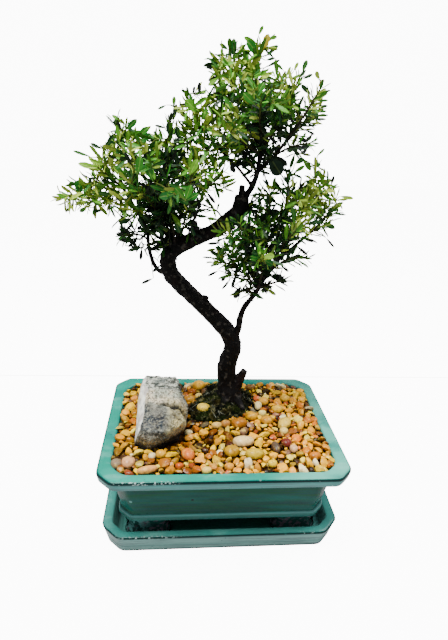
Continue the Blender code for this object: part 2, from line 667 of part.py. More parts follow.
def grow_leaves(sprays, wood_tree):
    draw = random.Random(SEED + 2)
    grown = []
    for spray in sprays.values():
        for line in spray["lines"]:
            own = spray["trees"][spray["lines"].index(line)]
            stem_trees = [tree for other in sprays.values() for tree in other["trees"] if tree is not own]
            for reach, turn in leaf_sites(line, draw):
                base, direction = frame_at(line, reach)
                length = draw.uniform(*LEAF_LENGTHS) * (0.85 if reach > 0.9 else 1.0)
                near = [tree for root, tree in grown if 0.5 < (root - base).length < 2 * LEAF_LENGTHS[1]]
                for step in (0, 0.3, -0.3, 0.6, -0.6, 0.9, -0.9, 1.2, -1.2):
                    along, up = leaf_pose(direction, reach, turn + step, draw)
                    guard = tree_of(*leaf(base, along, up, length, CLEARANCE))
                    if clear_of(guard, [wood_tree] + stem_trees + near):
                        blade = leaf(base - along * 0.1, along, up, length)
                        spray["leaves"].append(blade)
                        grown.append((base, tree_of(*blade)))
                        break


def make_sprays(parts, tools, material):
    wood_tree = tree_of_object(bpy.data.objects["tree_wood"])
    sprays = make_shoots(wood_tree, tools)
    grow_leaves(sprays, wood_tree)
    for name, spray in sprays.items():
        body = spray["stems"][0]
        tools.objects.unlink(body)
        parts.objects.link(body)
        body.name = "spray_" + name
        joining = make_collection("joining")
        for stem in spray["stems"][1:]:
            tools.objects.unlink(stem)
            joining.objects.link(stem)
        for points, faces in spray["leaves"]:
            mesh_object("blade", points, faces, joining)
        apply_boolean(body, "UNION", joining, "MANIFOLD")
        bpy.data.collections.remove(joining)
        finish(body, material)
    print("leaves", sum(len(spray["leaves"]) for spray in sprays.values()))


def main():
    clear_scene()
    parts = make_collection("boxleaf_eugenia_bonsai")
    tools = make_collection("cutters")
    look = {name: make_material(name) for name in COLOURS}
    finish(tray(parts), look["glaze"], 40)
    finish(pot(parts, tools), look["glaze"], 40)
    for side, sign in (("left", -1), ("right", 1)):
        finish(drain_screen("drain_screen_" + side, sign * DRAIN_SPREAD, parts), look["screen"])
    finish(soil(parts, tools), look["soil"])
    finish(gravel(parts, tools), look["gravel"])
    finish(moss(parts, tools), look["moss"])
    finish(rock_shape("rock", parts), look["rock"])
    finish(tree_wood(parts, tools), look["bark"], 60)
    make_sprays(parts, tools, look["leaf"])
    bpy.data.collections.remove(tools)


main()
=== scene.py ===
import math
import random

import bmesh
import bpy
from mathutils import Matrix, Vector, noise
from mathutils.kdtree import KDTree


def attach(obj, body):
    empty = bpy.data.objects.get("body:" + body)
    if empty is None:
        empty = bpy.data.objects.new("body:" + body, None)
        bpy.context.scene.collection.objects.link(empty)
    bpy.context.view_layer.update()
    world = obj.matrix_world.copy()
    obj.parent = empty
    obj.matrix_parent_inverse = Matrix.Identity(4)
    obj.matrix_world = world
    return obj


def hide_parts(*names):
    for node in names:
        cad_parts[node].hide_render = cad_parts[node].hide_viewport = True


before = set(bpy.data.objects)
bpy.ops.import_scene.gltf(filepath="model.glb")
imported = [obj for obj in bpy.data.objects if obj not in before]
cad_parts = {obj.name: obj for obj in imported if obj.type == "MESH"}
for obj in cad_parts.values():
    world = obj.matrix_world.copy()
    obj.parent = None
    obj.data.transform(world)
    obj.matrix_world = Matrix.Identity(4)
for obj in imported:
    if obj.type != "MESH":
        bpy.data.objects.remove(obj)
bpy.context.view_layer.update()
mm = 0.001      # sizes below are in millimetres, meshes in metres


# meshes and objects

def showObject(name, data):
    obj = bpy.data.objects.new(name, data)
    bpy.context.scene.collection.objects.link(obj)
    return obj


def meshFrom(name, points, faces):
    mesh = bpy.data.meshes.new(name)
    mesh.from_pydata([Vector(point) * mm for point in points], [], faces)
    return mesh


def setValues(mesh, name, values, kind="FLOAT", domain="POINT"):
    layer = mesh.attributes.new(name, kind, domain)
    field = {"FLOAT_VECTOR": "vector", "FLOAT_COLOR": "color"}.get(kind, "value")
    if field != "value":
        values = [number for value in values for number in value]
    layer.data.foreach_set(field, values)


def finishedMesh(obj):
    bpy.context.view_layer.update()
    return bpy.data.meshes.new_from_object(obj.evaluated_get(bpy.context.evaluated_depsgraph_get()))


def bakeModifiers(obj):
    mesh = finishedMesh(obj)
    obj.modifiers.clear()
    obj.data = mesh


def fuse(obj, voxel, factor, rounds):
    # one closed skin round all that the object holds, then slightly relaxed
    skin = obj.modifiers.new("skin", "REMESH")
    skin.mode = "VOXEL"
    skin.voxel_size = voxel * mm
    relax = obj.modifiers.new("relax", "SMOOTH")
    relax.factor = factor
    relax.iterations = rounds
    bakeModifiers(obj)


def pushOut(mesh, pushes):
    # moves each vertex along its own normal
    places = [vertex.co + vertex.normal * push * mm for vertex, push in zip(mesh.vertices, pushes)]
    mesh.vertices.foreach_set("co", [number for place in places for number in place])
    mesh.update()
    mesh.shade_smooth()


def smoothBy(mesh, degrees):
    mesh.shade_smooth()
    mesh.set_sharp_from_angle(angle=math.radians(degrees))


def dress(mesh, finish):
    mesh.materials.clear()
    mesh.materials.append(finish)


def nearestOf(points):
    # quick search for the nearest of many points
    known = KDTree(len(points))
    for i, point in enumerate(points):
        known.insert(point, i)
    known.balance()
    return known


def clampShare(value):
    return max(0.0, min(1.0, value))


def onBody(piece, slot, *nodes):
    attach(piece, "root")
    if nodes:
        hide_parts(*nodes)


# node groups

def startTree(name, kind, inputs, outputs):
    # inputs are title, kind of socket and value, outputs are title and kind
    tree = bpy.data.node_groups.new(name, kind)
    for title, socketKind, value in inputs:
        socket = tree.interface.new_socket(title, in_out="INPUT", socket_type="NodeSocket" + socketKind)
        if value is not None:
            socket.default_value = value
    for title, socketKind in outputs:
        tree.interface.new_socket(title, in_out="OUTPUT", socket_type="NodeSocket" + socketKind)
    return tree, tree.nodes.new("NodeGroupInput"), tree.nodes.new("NodeGroupOutput")


def addNode(tree, kind, values=None, **settings):
    node = tree.nodes.new(kind)
    for key, value in settings.items():
        setattr(node, key, value)
    for key, value in (values or {}).items():
        node.inputs[key].default_value = value
    return node


def join(tree, *links):
    # a link is a node and its output, then a node and its input
    for source, output, target, socket in links:
        tree.links.new(source.outputs[output], target.inputs[socket])


# shader helpers

def srgb(red, green, blue):
    def linear(level):
        share = level / 255
        return share / 12.92 if share <= 0.04045 else ((share + 0.055) / 1.055) ** 2.4
    return (linear(red), linear(green), linear(blue), 1.0)


def makeMottleGroup():
    # soft mask from stretched noise
    tree, given, result = startTree(
        "mottle", "ShaderNodeTree",
        [("Vector", "Vector", None), ("Stretch", "Vector", (1, 1, 1)), ("Scale", "Float", 100.0),
         ("Detail", "Float", 3.0), ("Low", "Float", 0.4), ("High", "Float", 0.6)],
        [("Mask", "Float")])
    stretch = addNode(tree, "ShaderNodeVectorMath", operation="MULTIPLY")
    grain = addNode(tree, "ShaderNodeTexNoise")
    span = addNode(tree, "ShaderNodeMapRange")
    join(tree, (given, "Vector", stretch, 0), (given, "Stretch", stretch, 1), (stretch, "Vector", grain, "Vector"),
         (given, "Scale", grain, "Scale"), (given, "Detail", grain, "Detail"), (grain, "Fac", span, "Value"),
         (given, "Low", span, "From Min"), (given, "High", span, "From Max"), (span, "Result", result, "Mask"))
    return tree


def makeSpeckGroup():
    # small round specks, a few to the centimetre
    tree, given, result = startTree(
        "specks", "ShaderNodeTree",
        [("Vector", "Vector", None), ("Scale", "Float", 400.0), ("Size", "Float", 0.3), ("Soft", "Float", 0.1)],
        [("Mask", "Float")])
    cells = addNode(tree, "ShaderNodeTexVoronoi", feature="F1")
    edge = addNode(tree, "ShaderNodeMath", operation="SUBTRACT")
    span = addNode(tree, "ShaderNodeMapRange", {"To Min": 1.0, "To Max": 0.0})
    join(tree, (given, "Vector", cells, "Vector"), (given, "Scale", cells, "Scale"), (given, "Size", edge, 0),
         (given, "Soft", edge, 1), (cells, "Distance", span, "Value"), (edge, "Value", span, "From Min"),
         (given, "Size", span, "From Max"), (span, "Result", result, "Mask"))
    return tree


mottleGroup = makeMottleGroup()
speckGroup = makeSpeckGroup()


class Finish:
    # one material being built: colour layers are mixed in order over the base
    def __init__(self, name, base, roughness, plain=None):
        self.material = bpy.data.materials.new(name)
        self.material.use_nodes = True
        self.tree = self.material.node_tree
        self.shader = self.tree.nodes["Principled BSDF"]
        self.shader.inputs["Roughness"].default_value = roughness
        for key, value in (plain or {}).items():
            self.shader.inputs[key].default_value = value
        self.place = self.tree.nodes.new("ShaderNodeTexCoord").outputs["Object"]
        self.colour = srgb(*base) if base else None     # none where an attribute gives the colour
        self.heights = None

    def node(self, kind, output, values, **settings):
        # gives one output of a new node, whose inputs are values or other outputs
        node = addNode(self.tree, kind, **settings)
        for key, value in values.items():
            if isinstance(value, bpy.types.NodeSocket):
                self.tree.links.new(value, node.inputs[key])
            else:
                node.inputs[key].default_value = value
        return node.outputs[output]

    def mask(self, scale, low, high, stretch=(1, 1, 1), detail=3.0):
        values = {"Vector": self.place, "Stretch": stretch, "Scale": scale, "Detail": detail,
                  "Low": low, "High": high}
        return self.node("ShaderNodeGroup", "Mask", values, node_tree=mottleGroup)

    def specks(self, scale, size):
        values = {"Vector": self.place, "Scale": scale, "Size": size}
        return self.node("ShaderNodeGroup", "Mask", values, node_tree=speckGroup)

    def span(self, value, low, high):
        # nothing at low, one at high
        return self.node("ShaderNodeMapRange", "Result", {"Value": value, "From Min": low, "From Max": high})

    def band(self, axis, centre, half):
        # one at a coordinate, falling to nothing at half the width on either side
        along = self.node("ShaderNodeSeparateXYZ", axis, {"Vector": self.place})
        return self.span(self.maths("ABSOLUTE", self.maths("SUBTRACT", along, centre)), half, half * 0.4)

    def attribute(self, name, output="Fac"):
        return self.node("ShaderNodeAttribute", output, {}, attribute_name=name)

    def maths(self, operation, first, second=0.0):
        return self.node("ShaderNodeMath", "Value", {0: first, 1: second}, operation=operation)

    def times(self, first, *others):
        for other in others:
            first = self.maths("MULTIPLY", first, other)
        return first

    def ramp(self, factor, stops):
        node = addNode(self.tree, "ShaderNodeValToRGB")
        elements = node.color_ramp.elements
        while len(elements) < len(stops):
            elements.new(0.5)
        for element, (position, colour) in zip(elements, stops):
            element.position = position
            element.color = srgb(*colour)
        self.tree.links.new(factor, node.inputs["Fac"])
        return node.outputs["Color"]

    def layer(self, mask, colour, share=1.0):
        # the mask is one socket, or several that are multiplied
        if isinstance(mask, tuple):
            mask = self.times(*mask)
        if share != 1.0:
            mask = self.times(mask, share)
        values = {"Factor": mask, "A": self.colour, "B": srgb(*colour)}
        self.colour = self.node("ShaderNodeMix", "Result", values, data_type="RGBA")

    def mottle(self, scale, low, high, colour, share, *within, stretch=(1, 1, 1)):
        # clouds or grains of one colour, within other masks
        self.layer((self.mask(scale, low, high, stretch), *within), colour, share)

    def raiseBy(self, height, amount):
        part = self.times(height, amount)
        self.heights = self.maths("ADD", self.heights, part) if self.heights else part

    def done(self, bump=0.0, depth=0.001):
        self.tree.links.new(self.colour, self.shader.inputs["Base Color"])
        if self.heights:
            values = {"Strength": bump, "Distance": depth, "Height": self.heights}
            self.tree.links.new(self.node("ShaderNodeBump", "Normal", values), self.shader.inputs["Normal"])
        return self.material


# geometry node trees

def startShapeTree(name, inputs):
    return startTree(name, "GeometryNodeTree",
                     [("Geometry", "Geometry", None), *inputs, ("Finish", "Material", None)],
                     [("Geometry", "Geometry")])


def endShapeTree(tree, made, output, given, result):
    real = tree.nodes.new("GeometryNodeRealizeInstances")
    paint = tree.nodes.new("GeometryNodeSetMaterial")
    join(tree, (made, output, real, "Geometry"), (real, "Geometry", paint, "Geometry"),
         (given, "Finish", paint, "Material"), (paint, "Geometry", result, "Geometry"))
    return tree


def makePlacingTree():
    # puts one of a few shapes on each point, by the point's own turn, size and variant
    tree, given, result = startShapeTree(
        "placeShapes",
        [("Shapes", "Collection", None), ("Size", "Float", 1.0), ("Sway", "Float", 0.0), ("Seed", "Int", 1)])
    shapes = addNode(tree, "GeometryNodeCollectionInfo", {"Separate Children": True, "Reset Children": True})
    jitter = addNode(tree, "FunctionNodeRandomValue", {"Min": (-1, -1, -1), "Max": (1, 1, 1)},
                     data_type="FLOAT_VECTOR")
    sway = addNode(tree, "ShaderNodeVectorMath", operation="SCALE")
    turned = addNode(tree, "ShaderNodeVectorMath", operation="ADD")
    euler = tree.nodes.new("FunctionNodeEulerToRotation")
    sized = addNode(tree, "ShaderNodeVectorMath", operation="SCALE")
    place = addNode(tree, "GeometryNodeInstanceOnPoints", {"Pick Instance": True})
    turn, size, variant = [
        addNode(tree, "GeometryNodeInputNamedAttribute", {"Name": name}, data_type=kind)
        for name, kind in (("turn", "FLOAT_VECTOR"), ("size", "FLOAT_VECTOR"), ("variant", "INT"))]
    join(tree, (given, "Shapes", shapes, "Collection"), (given, "Seed", jitter, "Seed"), (jitter, "Value", sway, 0),
         (given, "Sway", sway, "Scale"), (turn, "Attribute", turned, 0), (sway, "Vector", turned, 1),
         (turned, "Vector", euler, "Euler"), (size, "Attribute", sized, 0), (given, "Size", sized, "Scale"),
         (given, "Geometry", place, "Points"), (shapes, "Instances", place, "Instance"),
         (variant, "Attribute", place, "Instance Index"), (euler, "Rotation", place, "Rotation"),
         (sized, "Vector", place, "Scale"))
    return endShapeTree(tree, place, "Instances", given, result)


def makeFollowTree():
    # a round skin along each line, as thick as the line's own radius
    tree, given, result = startShapeTree("followLines", [("Sides", "Int", 6), ("Thickness", "Float", 1.0)])
    girth = addNode(tree, "GeometryNodeStoreNamedAttribute", {"Name": "girth"}, data_type="FLOAT", domain="POINT")
    radius = tree.nodes.new("GeometryNodeInputRadius")
    ring = addNode(tree, "GeometryNodeCurvePrimitiveCircle", mode="RADIUS")
    skin = addNode(tree, "GeometryNodeCurveToMesh", {"Fill Caps": True})
    smooth = tree.nodes.new("GeometryNodeSetShadeSmooth")
    join(tree, (given, "Geometry", girth, "Geometry"), (radius, "Radius", girth, "Value"),
         (given, "Sides", ring, "Resolution"), (given, "Thickness", ring, "Radius"),
         (girth, "Geometry", skin, "Curve"), (ring, "Curve", skin, "Profile Curve"),
         (radius, "Radius", skin, "Scale"), (skin, "Mesh", smooth, "Geometry"))
    return endShapeTree(tree, smooth, "Geometry", given, result)


def makeTuftTree():
    # strands that stand on a surface, leaning at random
    tree, given, result = startShapeTree(
        "growTufts",
        [("Strands", "Collection", None), ("Density", "Float", 1e6), ("Length", "Float", 1.0),
         ("Shortest", "Float", 0.5), ("Longest", "Float", 1.4), ("Lean", "Float", 0.8), ("Seed", "Int", 3)])
    spread = addNode(tree, "GeometryNodeDistributePointsOnFaces", distribute_method="RANDOM")
    strands = addNode(tree, "GeometryNodeCollectionInfo", {"Separate Children": True, "Reset Children": True})
    jitter = addNode(tree, "FunctionNodeRandomValue", {"Min": (-1, -1, -3.14), "Max": (1, 1, 3.14)},
                     data_type="FLOAT_VECTOR")
    flatten = addNode(tree, "ShaderNodeVectorMath", operation="MULTIPLY")
    lean = addNode(tree, "ShaderNodeCombineXYZ", {"Z": 1.0})
    turn = tree.nodes.new("FunctionNodeEulerToRotation")
    rotate = addNode(tree, "FunctionNodeRotateRotation", rotation_space="LOCAL")
    height = addNode(tree, "FunctionNodeRandomValue", data_type="FLOAT")
    sized = addNode(tree, "ShaderNodeMath", operation="MULTIPLY")
    place = addNode(tree, "GeometryNodeInstanceOnPoints", {"Pick Instance": True})
    join(tree, (given, "Geometry", spread, "Mesh"), (given, "Density", spread, "Density"),
         (given, "Seed", spread, "Seed"), (given, "Seed", jitter, "Seed"), (given, "Seed", height, "Seed"),
         (given, "Shortest", height, "Min"), (given, "Longest", height, "Max"),
         (given, "Strands", strands, "Collection"), (given, "Lean", lean, "X"), (given, "Lean", lean, "Y"),
         (jitter, "Value", flatten, 0), (lean, "Vector", flatten, 1),
         (flatten, "Vector", turn, "Euler"), (spread, "Rotation", rotate, "Rotation"),
         (turn, "Rotation", rotate, "Rotate By"), (height, "Value", sized, 0), (given, "Length", sized, 1),
         (spread, "Points", place, "Points"), (strands, "Instances", place, "Instance"),
         (rotate, "Rotation", place, "Rotation"), (sized, "Value", place, "Scale"))
    return endShapeTree(tree, place, "Instances", given, result)


def runTree(name, source, tree, values):
    modifier = source.modifiers.new("shape", "NODES")
    modifier.node_group = tree
    for item in tree.interface.items_tree:
        if item.in_out == "INPUT" and item.name in values:
            modifier[item.identifier] = values[item.name]
    mesh = finishedMesh(source)
    source.modifiers.clear()
    bpy.data.objects.remove(source)
    mesh.name = name
    return showObject(name, mesh)


def shapeSet(name, meshes):
    # a collection of shapes for a tree, kept out of the scene
    group = bpy.data.collections.new(name)
    for mesh in meshes:
        group.objects.link(bpy.data.objects.new(mesh.name, mesh))
    return group


def pointMesh(name, marks, tones):
    # a point for each mark, with its turn, size, variant and the tones that its finish reads
    mesh = meshFrom(name, [mark["at"] for mark in marks], [])
    kinds = [("turn", "FLOAT_VECTOR"), ("size", "FLOAT_VECTOR"), ("variant", "INT")]
    kinds += [(key, "FLOAT" if isinstance(marks[0][key], float) else "FLOAT_COLOR") for key in tones]
    for key, kind in kinds:
        setValues(mesh, key, [mark[key] for mark in marks], kind)
    return showObject(name, mesh)


def lineCurve(name, lines):
    # each line is a list of points with their radius
    curve = bpy.data.curves.new(name, "CURVE")
    curve.dimensions = "3D"
    for line in lines:
        spline = curve.splines.new("POLY")
        spline.points.add(len(line) - 1)
        for target, (point, radius) in zip(spline.points, line):
            target.co = (*(point * mm), 1)
            target.radius = radius
    return showObject(name, curve)


placingTree = makePlacingTree()
followTree = makeFollowTree()
tuftTree = makeTuftTree()


# camera, floor and light

viewOfPhoto = {
    "place": (-0.0459, -0.3733, 0.3499),
    "down": 0.3981,         # radians below level
    "aside": 0.1146,        # to the right of the long side's normal
    "roll": 0.063,
    "lens": 25.99,
    "sensor": 36.0,
    "nearest": 0.01,
}


def aimCamera(user):
    aside, down, roll = user["aside"], user["down"], user["roll"]
    level = Vector((math.cos(aside), -math.sin(aside), 0))
    ahead = Vector((math.sin(aside), math.cos(aside), 0)) * math.cos(down)
    ahead.z = -math.sin(down)
    above = level.cross(ahead)
    right = level * math.cos(roll) + above * math.sin(roll)
    up = above * math.cos(roll) - level * math.sin(roll)
    data = bpy.data.cameras.new("camera")
    data.lens = user["lens"]
    data.sensor_width = user["sensor"]
    data.clip_start = user["nearest"]
    camera = showObject("camera", data)
    turn = Matrix((right, up, -ahead)).transposed()
    camera.matrix_world = Matrix.Translation(Vector(user["place"])) @ turn.to_4x4()
    bpy.context.scene.camera = camera


studio = {
    "floorSize": 6000.0,
    "floorColour": (176, 176, 176),
    "floorClouds": (170, 170, 172),
    "floorGlow": 11.0,      # seen by the camera alone, as an overexposed white table
    "wallAt": 0.234,        # metres back to the faint line where the wall meets the table
    "wallLine": 0.0012,
    "wallShade": 0.55,
    "skyColour": (1.0, 1.0, 1.0, 1.0),
    "skyStrength": 0.4,
    "skySeen": 11.5,
    "lights": [     # place, aim, width, power, colour
        ((-0.35, -0.15, 1.35), (0.0, 0.0, 0.15), 0.6, 40.0, (1.0, 0.98, 0.94)),
        ((0.65, 0.35, 1.2), (0.0, 0.0, 0.2), 0.6, 13.0, (0.96, 0.98, 1.0)),
    ],
}


def seenBrighter(tree, plain, seen, target, socket):
    # a strength that differs for what the camera sees directly
    path = tree.nodes.new("ShaderNodeLightPath")
    span = addNode(tree, "ShaderNodeMapRange", {"To Min": plain, "To Max": seen})
    join(tree, (path, "Is Camera Ray", span, "Value"), (span, "Result", target, socket))


def makeFloor(user):
    half = user["floorSize"] / 2
    corners = [(-half, -half, 0), (half, -half, 0), (half, half, 0), (-half, half, 0)]
    floor = showObject("floor", meshFrom("floor", corners, [(0, 1, 2, 3)]))
    paint = Finish("floorPaint", user["floorColour"], 0.6)
    paint.layer(paint.mask(3.0, 0.3, 0.7), user["floorClouds"], 0.5)
    line = paint.band("Y", user["wallAt"], user["wallLine"])
    shade = paint.node("ShaderNodeMapRange", "Result", {"Value": line, "To Min": 1.0, "To Max": user["wallShade"]})
    glow = paint.node("ShaderNodeCombineXYZ", "Vector", {axis: shade for axis in "XYZ"})
    paint.tree.links.new(glow, paint.shader.inputs["Emission Color"])
    seenBrighter(paint.tree, 0.0, user["floorGlow"], paint.shader, "Emission Strength")
    dress(floor.data, paint.done())


def lightStudio(user):
    world = bpy.data.worlds.new("sky")
    bpy.context.scene.world = world
    world.use_nodes = True
    sky = world.node_tree.nodes["Background"]
    sky.inputs["Color"].default_value = user["skyColour"]
    seenBrighter(world.node_tree, user["skyStrength"], user["skySeen"], sky, "Strength")
    for i, (place, aim, width, power, colour) in enumerate(user["lights"]):
        data = bpy.data.lights.new("softbox%d" % i, "AREA")
        data.size = width
        data.energy = power
        data.color = colour
        lamp = showObject("softbox%d" % i, data)
        lamp.location = place
        lamp.rotation_euler = (Vector(aim) - Vector(place)).to_track_quat("-Z", "Y").to_euler()


aimCamera(viewOfPhoto)
makeFloor(studio)
lightStudio(studio)
print("stage: camera, floor and light set")


# glazed pot and tray

pot = {
    "length": 216.0,        # over the rim
    "width": 165.0,
    "cut": 12.6,            # how much each corner is cut away
    "cutLoss": 0.1,         # how much of an inset comes off that cut
    "corner": 3,            # steps round each edge of a cut corner
    "sideShare": 0.85,      # share of an inset that the long sides take
    "sideRound": 0.32,
    "rimRound": 0.55,
    "rimWidth": 11.0,
    "feet": (66.5, 56.1),   # centre of the right back foot, the others mirror it
    "footSize": (44.0, 19.0),
    "footBottom": 6.3,
    "footCut": 6.5,
    "footTone": (0.9, 0.15, 0.7),   # deep green, grey veil and dark line
    "drains": 45.0,         # left and right of the middle
    "drainRadius": 7.0,
    "drainDepth": (24, 42),
}

# inset from the rim's outer edge, height, deep green share, grey veil share, dark line share
potProfile = [
    (40.0, 30.0, 0.9, 0.2, 0), (19.5, 30.0, 0.9, 0.2, 0), (17.2, 30.2, 0.8, 0.2, 0.4),
    (16.1, 30.9, 0.4, 0.5, 0.3), (15.7, 32.0, 1, 0.15, 0.1), (15.7, 34.6, 1, 0.2, 0),
    # the ring at 36.1 high, along the top edge of the foot band, is pale partly from thin glaze and partly as a
    # painted highlight
    (15.9, 36.1, 0.6, 0.8, 0), (16.5, 36.8, 0.5, 0.5, 0), (17.3, 37.3, 0.9, 0, 0.15), (17.5, 38.2, 1, 0, 0),
    (16.7, 42.5, 1, 0, 0), (14.6, 55.0, 1, 0, 0), (12.6, 68.0, 1, 0, 0), (11.9, 72.5, 1, 0, 0),
    (11.1, 74.6, 1, 0, 0), (9.2, 75.5, 1, 0, 0), (5.0, 75.7, 0.8, 0.2, 0), (2.4, 75.8, 0.5, 0.5, 0.1),
    (1.3, 76.2, 0.2, 0.9, 0.25), (0.9, 77.0, 0.1, 0.95, 0.05), (0.45, 79.8, 0.1, 0.95, 0),
    (0.1, 82.0, 0.15, 0.8, 0.1), (0.0, 82.8, 0.2, 0.4, 0.9), (0.1, 83.9, 0.3, 0.1, 1.0),
    (0.55, 84.6, 0.2, 0, 0.9), (1.3, 84.95, 0, 0, 0.3), (2.3, 85.0, 0, 0, 0),
]

# the rim's flat top, its round inner edge and the inside
potRimProfile = [
    (5.5, 84.9, 0, 0, 0), (8.8, 84.7, 0, 0, 0), (10.0, 84.3, 0, 0, 0), (10.7, 83.5, 0, 0.2, 0),
    (11.0, 82.3, 0.4, 0, 0.2), (11.3, 80.0, 0.7, 0, 0.2), (16.5, 76.0, 0.7, 0, 0), (23.3, 38.0, 0.8, 0, 0),
    (26.0, 36.0, 0.8, 0, 0), (60.0, 36.0, 0.8, 0, 0),
]


def cornerRing(halfX, halfY, cut, z, steps, roundness):
    # a rectangle with cut corners whose eight edges are rounded
    corners = []
    for signX, signY in ((1, 1), (-1, 1), (-1, -1), (1, -1)):
        pair = [(signX * halfX, signY * (halfY - cut)), (signX * (halfX - cut), signY * halfY)]
        corners += pair if signX * signY > 0 else pair[::-1]
    ring = []
    for i, corner in enumerate(corners):
        here = Vector(corner)
        before = here + (Vector(corners[i - 1]) - here).normalized() * cut * roundness
        after = here + (Vector(corners[(i + 1) % 8]) - here).normalized() * cut * roundness
        for k in range(steps + 1):
            t = k / steps
            point = before * (1 - t) ** 2 + here * 2 * t * (1 - t) + after * t ** 2
            ring.append((point.x, point.y, z))
    return ring


def loftRings(name, rings):
    # a closed skin over rings of equally many points, lowest or outermost first
    count = len(rings[0])
    points = [point for ring in rings for point in ring]
    faces = []
    for level in range(len(rings) - 1):
        low = level * count
        high = low + count
        for i in range(count):
            j = (i + 1) % count
            faces.append((low + i, low + j, high + j, high + i))
    faces.append(tuple(reversed(range(count))))
    faces.append(tuple(range(len(points) - count, len(points))))
    return meshFrom(name, points, faces)


def glazedLoft(name, user, stretches):
    # each stretch is a profile, how much of an inset its long sides take, and how round its corners are
    rings = []
    tones = []
    for profile, share, roundness in stretches:
        for inset, z, *tone in profile:
            halfX = user["length"] / 2 - inset
            halfY = user["width"] / 2 - inset * share
            cut = max(2.0, user["cut"] - inset * user["cutLoss"])
            ring = cornerRing(halfX, halfY, cut, z, user["corner"], roundness)
            rings.append(ring)
            tones += [tone] * len(ring)
    return loftRings(name, rings), tones


def paintTones(mesh, tones):
    for i, name in enumerate(("deep", "veil", "line")):
        setValues(mesh, name, [tone[i] for tone in tones])


def unite(base, others, operation):
    # boolean with all the other objects, which are then removed
    group = bpy.data.collections.new("cutters")
    bpy.context.scene.collection.children.link(group)
    for other in others:
        bpy.context.scene.collection.objects.unlink(other)
        group.objects.link(other)
    modifier = base.modifiers.new("unite", "BOOLEAN")
    modifier.operation = operation
    modifier.operand_type = "COLLECTION"
    modifier.collection = group
    modifier.solver = "EXACT"
    bakeModifiers(base)
    for other in others:
        bpy.data.objects.remove(other)
    bpy.data.collections.remove(group)


# share of the foot's length and width at each height over its pad, wide at the pot and on the pad
footLevels = [
    (0.80, 0.62, 0.0), (0.87, 0.74, 0.5), (0.92, 0.82, 2.0), (0.94, 0.84, 4.5), (0.92, 0.82, 7.0),
    (0.86, 0.75, 9.5), (0.84, 0.73, 12.0), (0.86, 0.78, 14.5), (0.92, 0.88, 18.0), (1.0, 1.0, 25.5),
]


def footMesh(user, signX, signY):
    rings = []
    for scaleX, scaleY, rise in footLevels:
        halfX, halfY = user["footSize"][0] / 2 * scaleX, user["footSize"][1] / 2 * scaleY
        scalloped = []
        for x, y, _ in cornerRing(halfX, halfY, user["footCut"], 0, 4, 0.5):
            scallop = 1 + 0.05 * math.cos(x * 0.5) * (1 if rise < 16 else 0.3)
            scalloped.append((x + signX * user["feet"][0], y * scallop + signY * user["feet"][1],
                              user["footBottom"] + rise))
        rings.append(scalloped)
    return showObject("foot", loftRings("foot", rings))


def drainDrum(user, sign, sides=32):
    angles = [i * math.tau / sides for i in range(sides)]
    rings = [[(sign * user["drains"] + user["drainRadius"] * math.cos(angle),
               user["drainRadius"] * math.sin(angle), z) for angle in angles] for z in user["drainDepth"]]
    return showObject("drain", loftRings("drain", rings))


def makePot(user, finish):
    stretches = [(potProfile, user["sideShare"], user["sideRound"]), (potRimProfile, 1.0, user["rimRound"])]
    mesh, tones = glazedLoft("glazedPot", user, stretches)
    known = nearestOf([vertex.co for vertex in mesh.vertices])
    body = showObject("glazedPot", mesh)
    unite(body, [footMesh(user, signX, signY) for signX in (-1, 1) for signY in (-1, 1)], "UNION")
    unite(body, [drainDrum(user, sign) for sign in (-1, 1)], "DIFFERENCE")
    found = []
    for vertex in body.data.vertices:
        _, i, distance = known.find(vertex.co)
        found.append(tones[i] if distance < 0.02 * mm else user["footTone"])
    paintTones(body.data, found)
    smoothBy(body.data, 42)
    dress(body.data, finish)
    onBody(body, "glaze", "pot")


tray = {
    "length": 214.0,
    "width": 154.0,
    "cut": 15.6,
    "cutLoss": 0.5,
    "corner": 3,
    "sideShare": 0.9,
    "sideRound": 0.32,
}

trayProfile = [
    (40.0, 0.0, 0.6, 0.6, 0), (6.2, 0.0, 0.6, 0.6, 0.5), (4.9, 0.25, 0.3, 0.6, 0.9),
    (4.3, 0.9, 0.15, 0.9, 0.85), (4.1, 1.9, 0.1, 1, 0.85), (3.95, 2.6, 0.05, 1, 0.6), (3.8, 3.4, 0.05, 1, 0.0),
    (3.33, 5.5, 0, 1, 0), (2.9, 7.4, 0.3, 0.7, 0.15), (2.2, 10.5, 0.1, 0.95, 0), (1.51, 13.5, 0, 1, 0),
    (0.75, 16.8, 0.1, 0.9, 0.05), (0.25, 18.0, 0.2, 0.4, 0.6), (0.1, 18.8, 0.3, 0.1, 1.0),
    (0.45, 19.5, 0.2, 0, 0.9), (1.2, 19.9, 0, 0.2, 0.3), (2.6, 20.0, 0, 0.15, 0), (6.4, 19.95, 0, 0.15, 0),
    (7.8, 19.7, 0, 0.2, 0), (8.5, 19.2, 0, 0.3, 0), (9.3, 17.5, 0, 0.6, 0), (12.3, 8.4, 0, 0.6, 0),
    (13.2, 6.8, 0.3, 0.3, 0.1), (14.8, 6.1, 0.2, 0.3, 0), (19.0, 6.0, 0.2, 0.2, 0),
    # under the pot the tray floor is darkened with deep green and dark line: painted shade
    (26.0, 6.0, 0.8, 0.0, 0.15), (60.0, 6.0, 0.9, 0.0, 0.4),
]


def makeTray(user, finish):
    mesh, tones = glazedLoft("glazedTray", user, [(trayProfile, user["sideShare"], user["sideRound"])])
    paintTones(mesh, tones)
    smoothBy(mesh, 42)
    dress(mesh, finish)
    onBody(showObject("glazedTray", mesh), "glaze", "tray")


# a small dark spot and a small light spot on the pot's body: x, y, z, half width, colour
glazeMarks = [(-28.3, -70.1, 54.3, 1.5, (0, 24, 26)), (-80.3, -70.2, 53.2, 1.6, (120, 186, 178))]


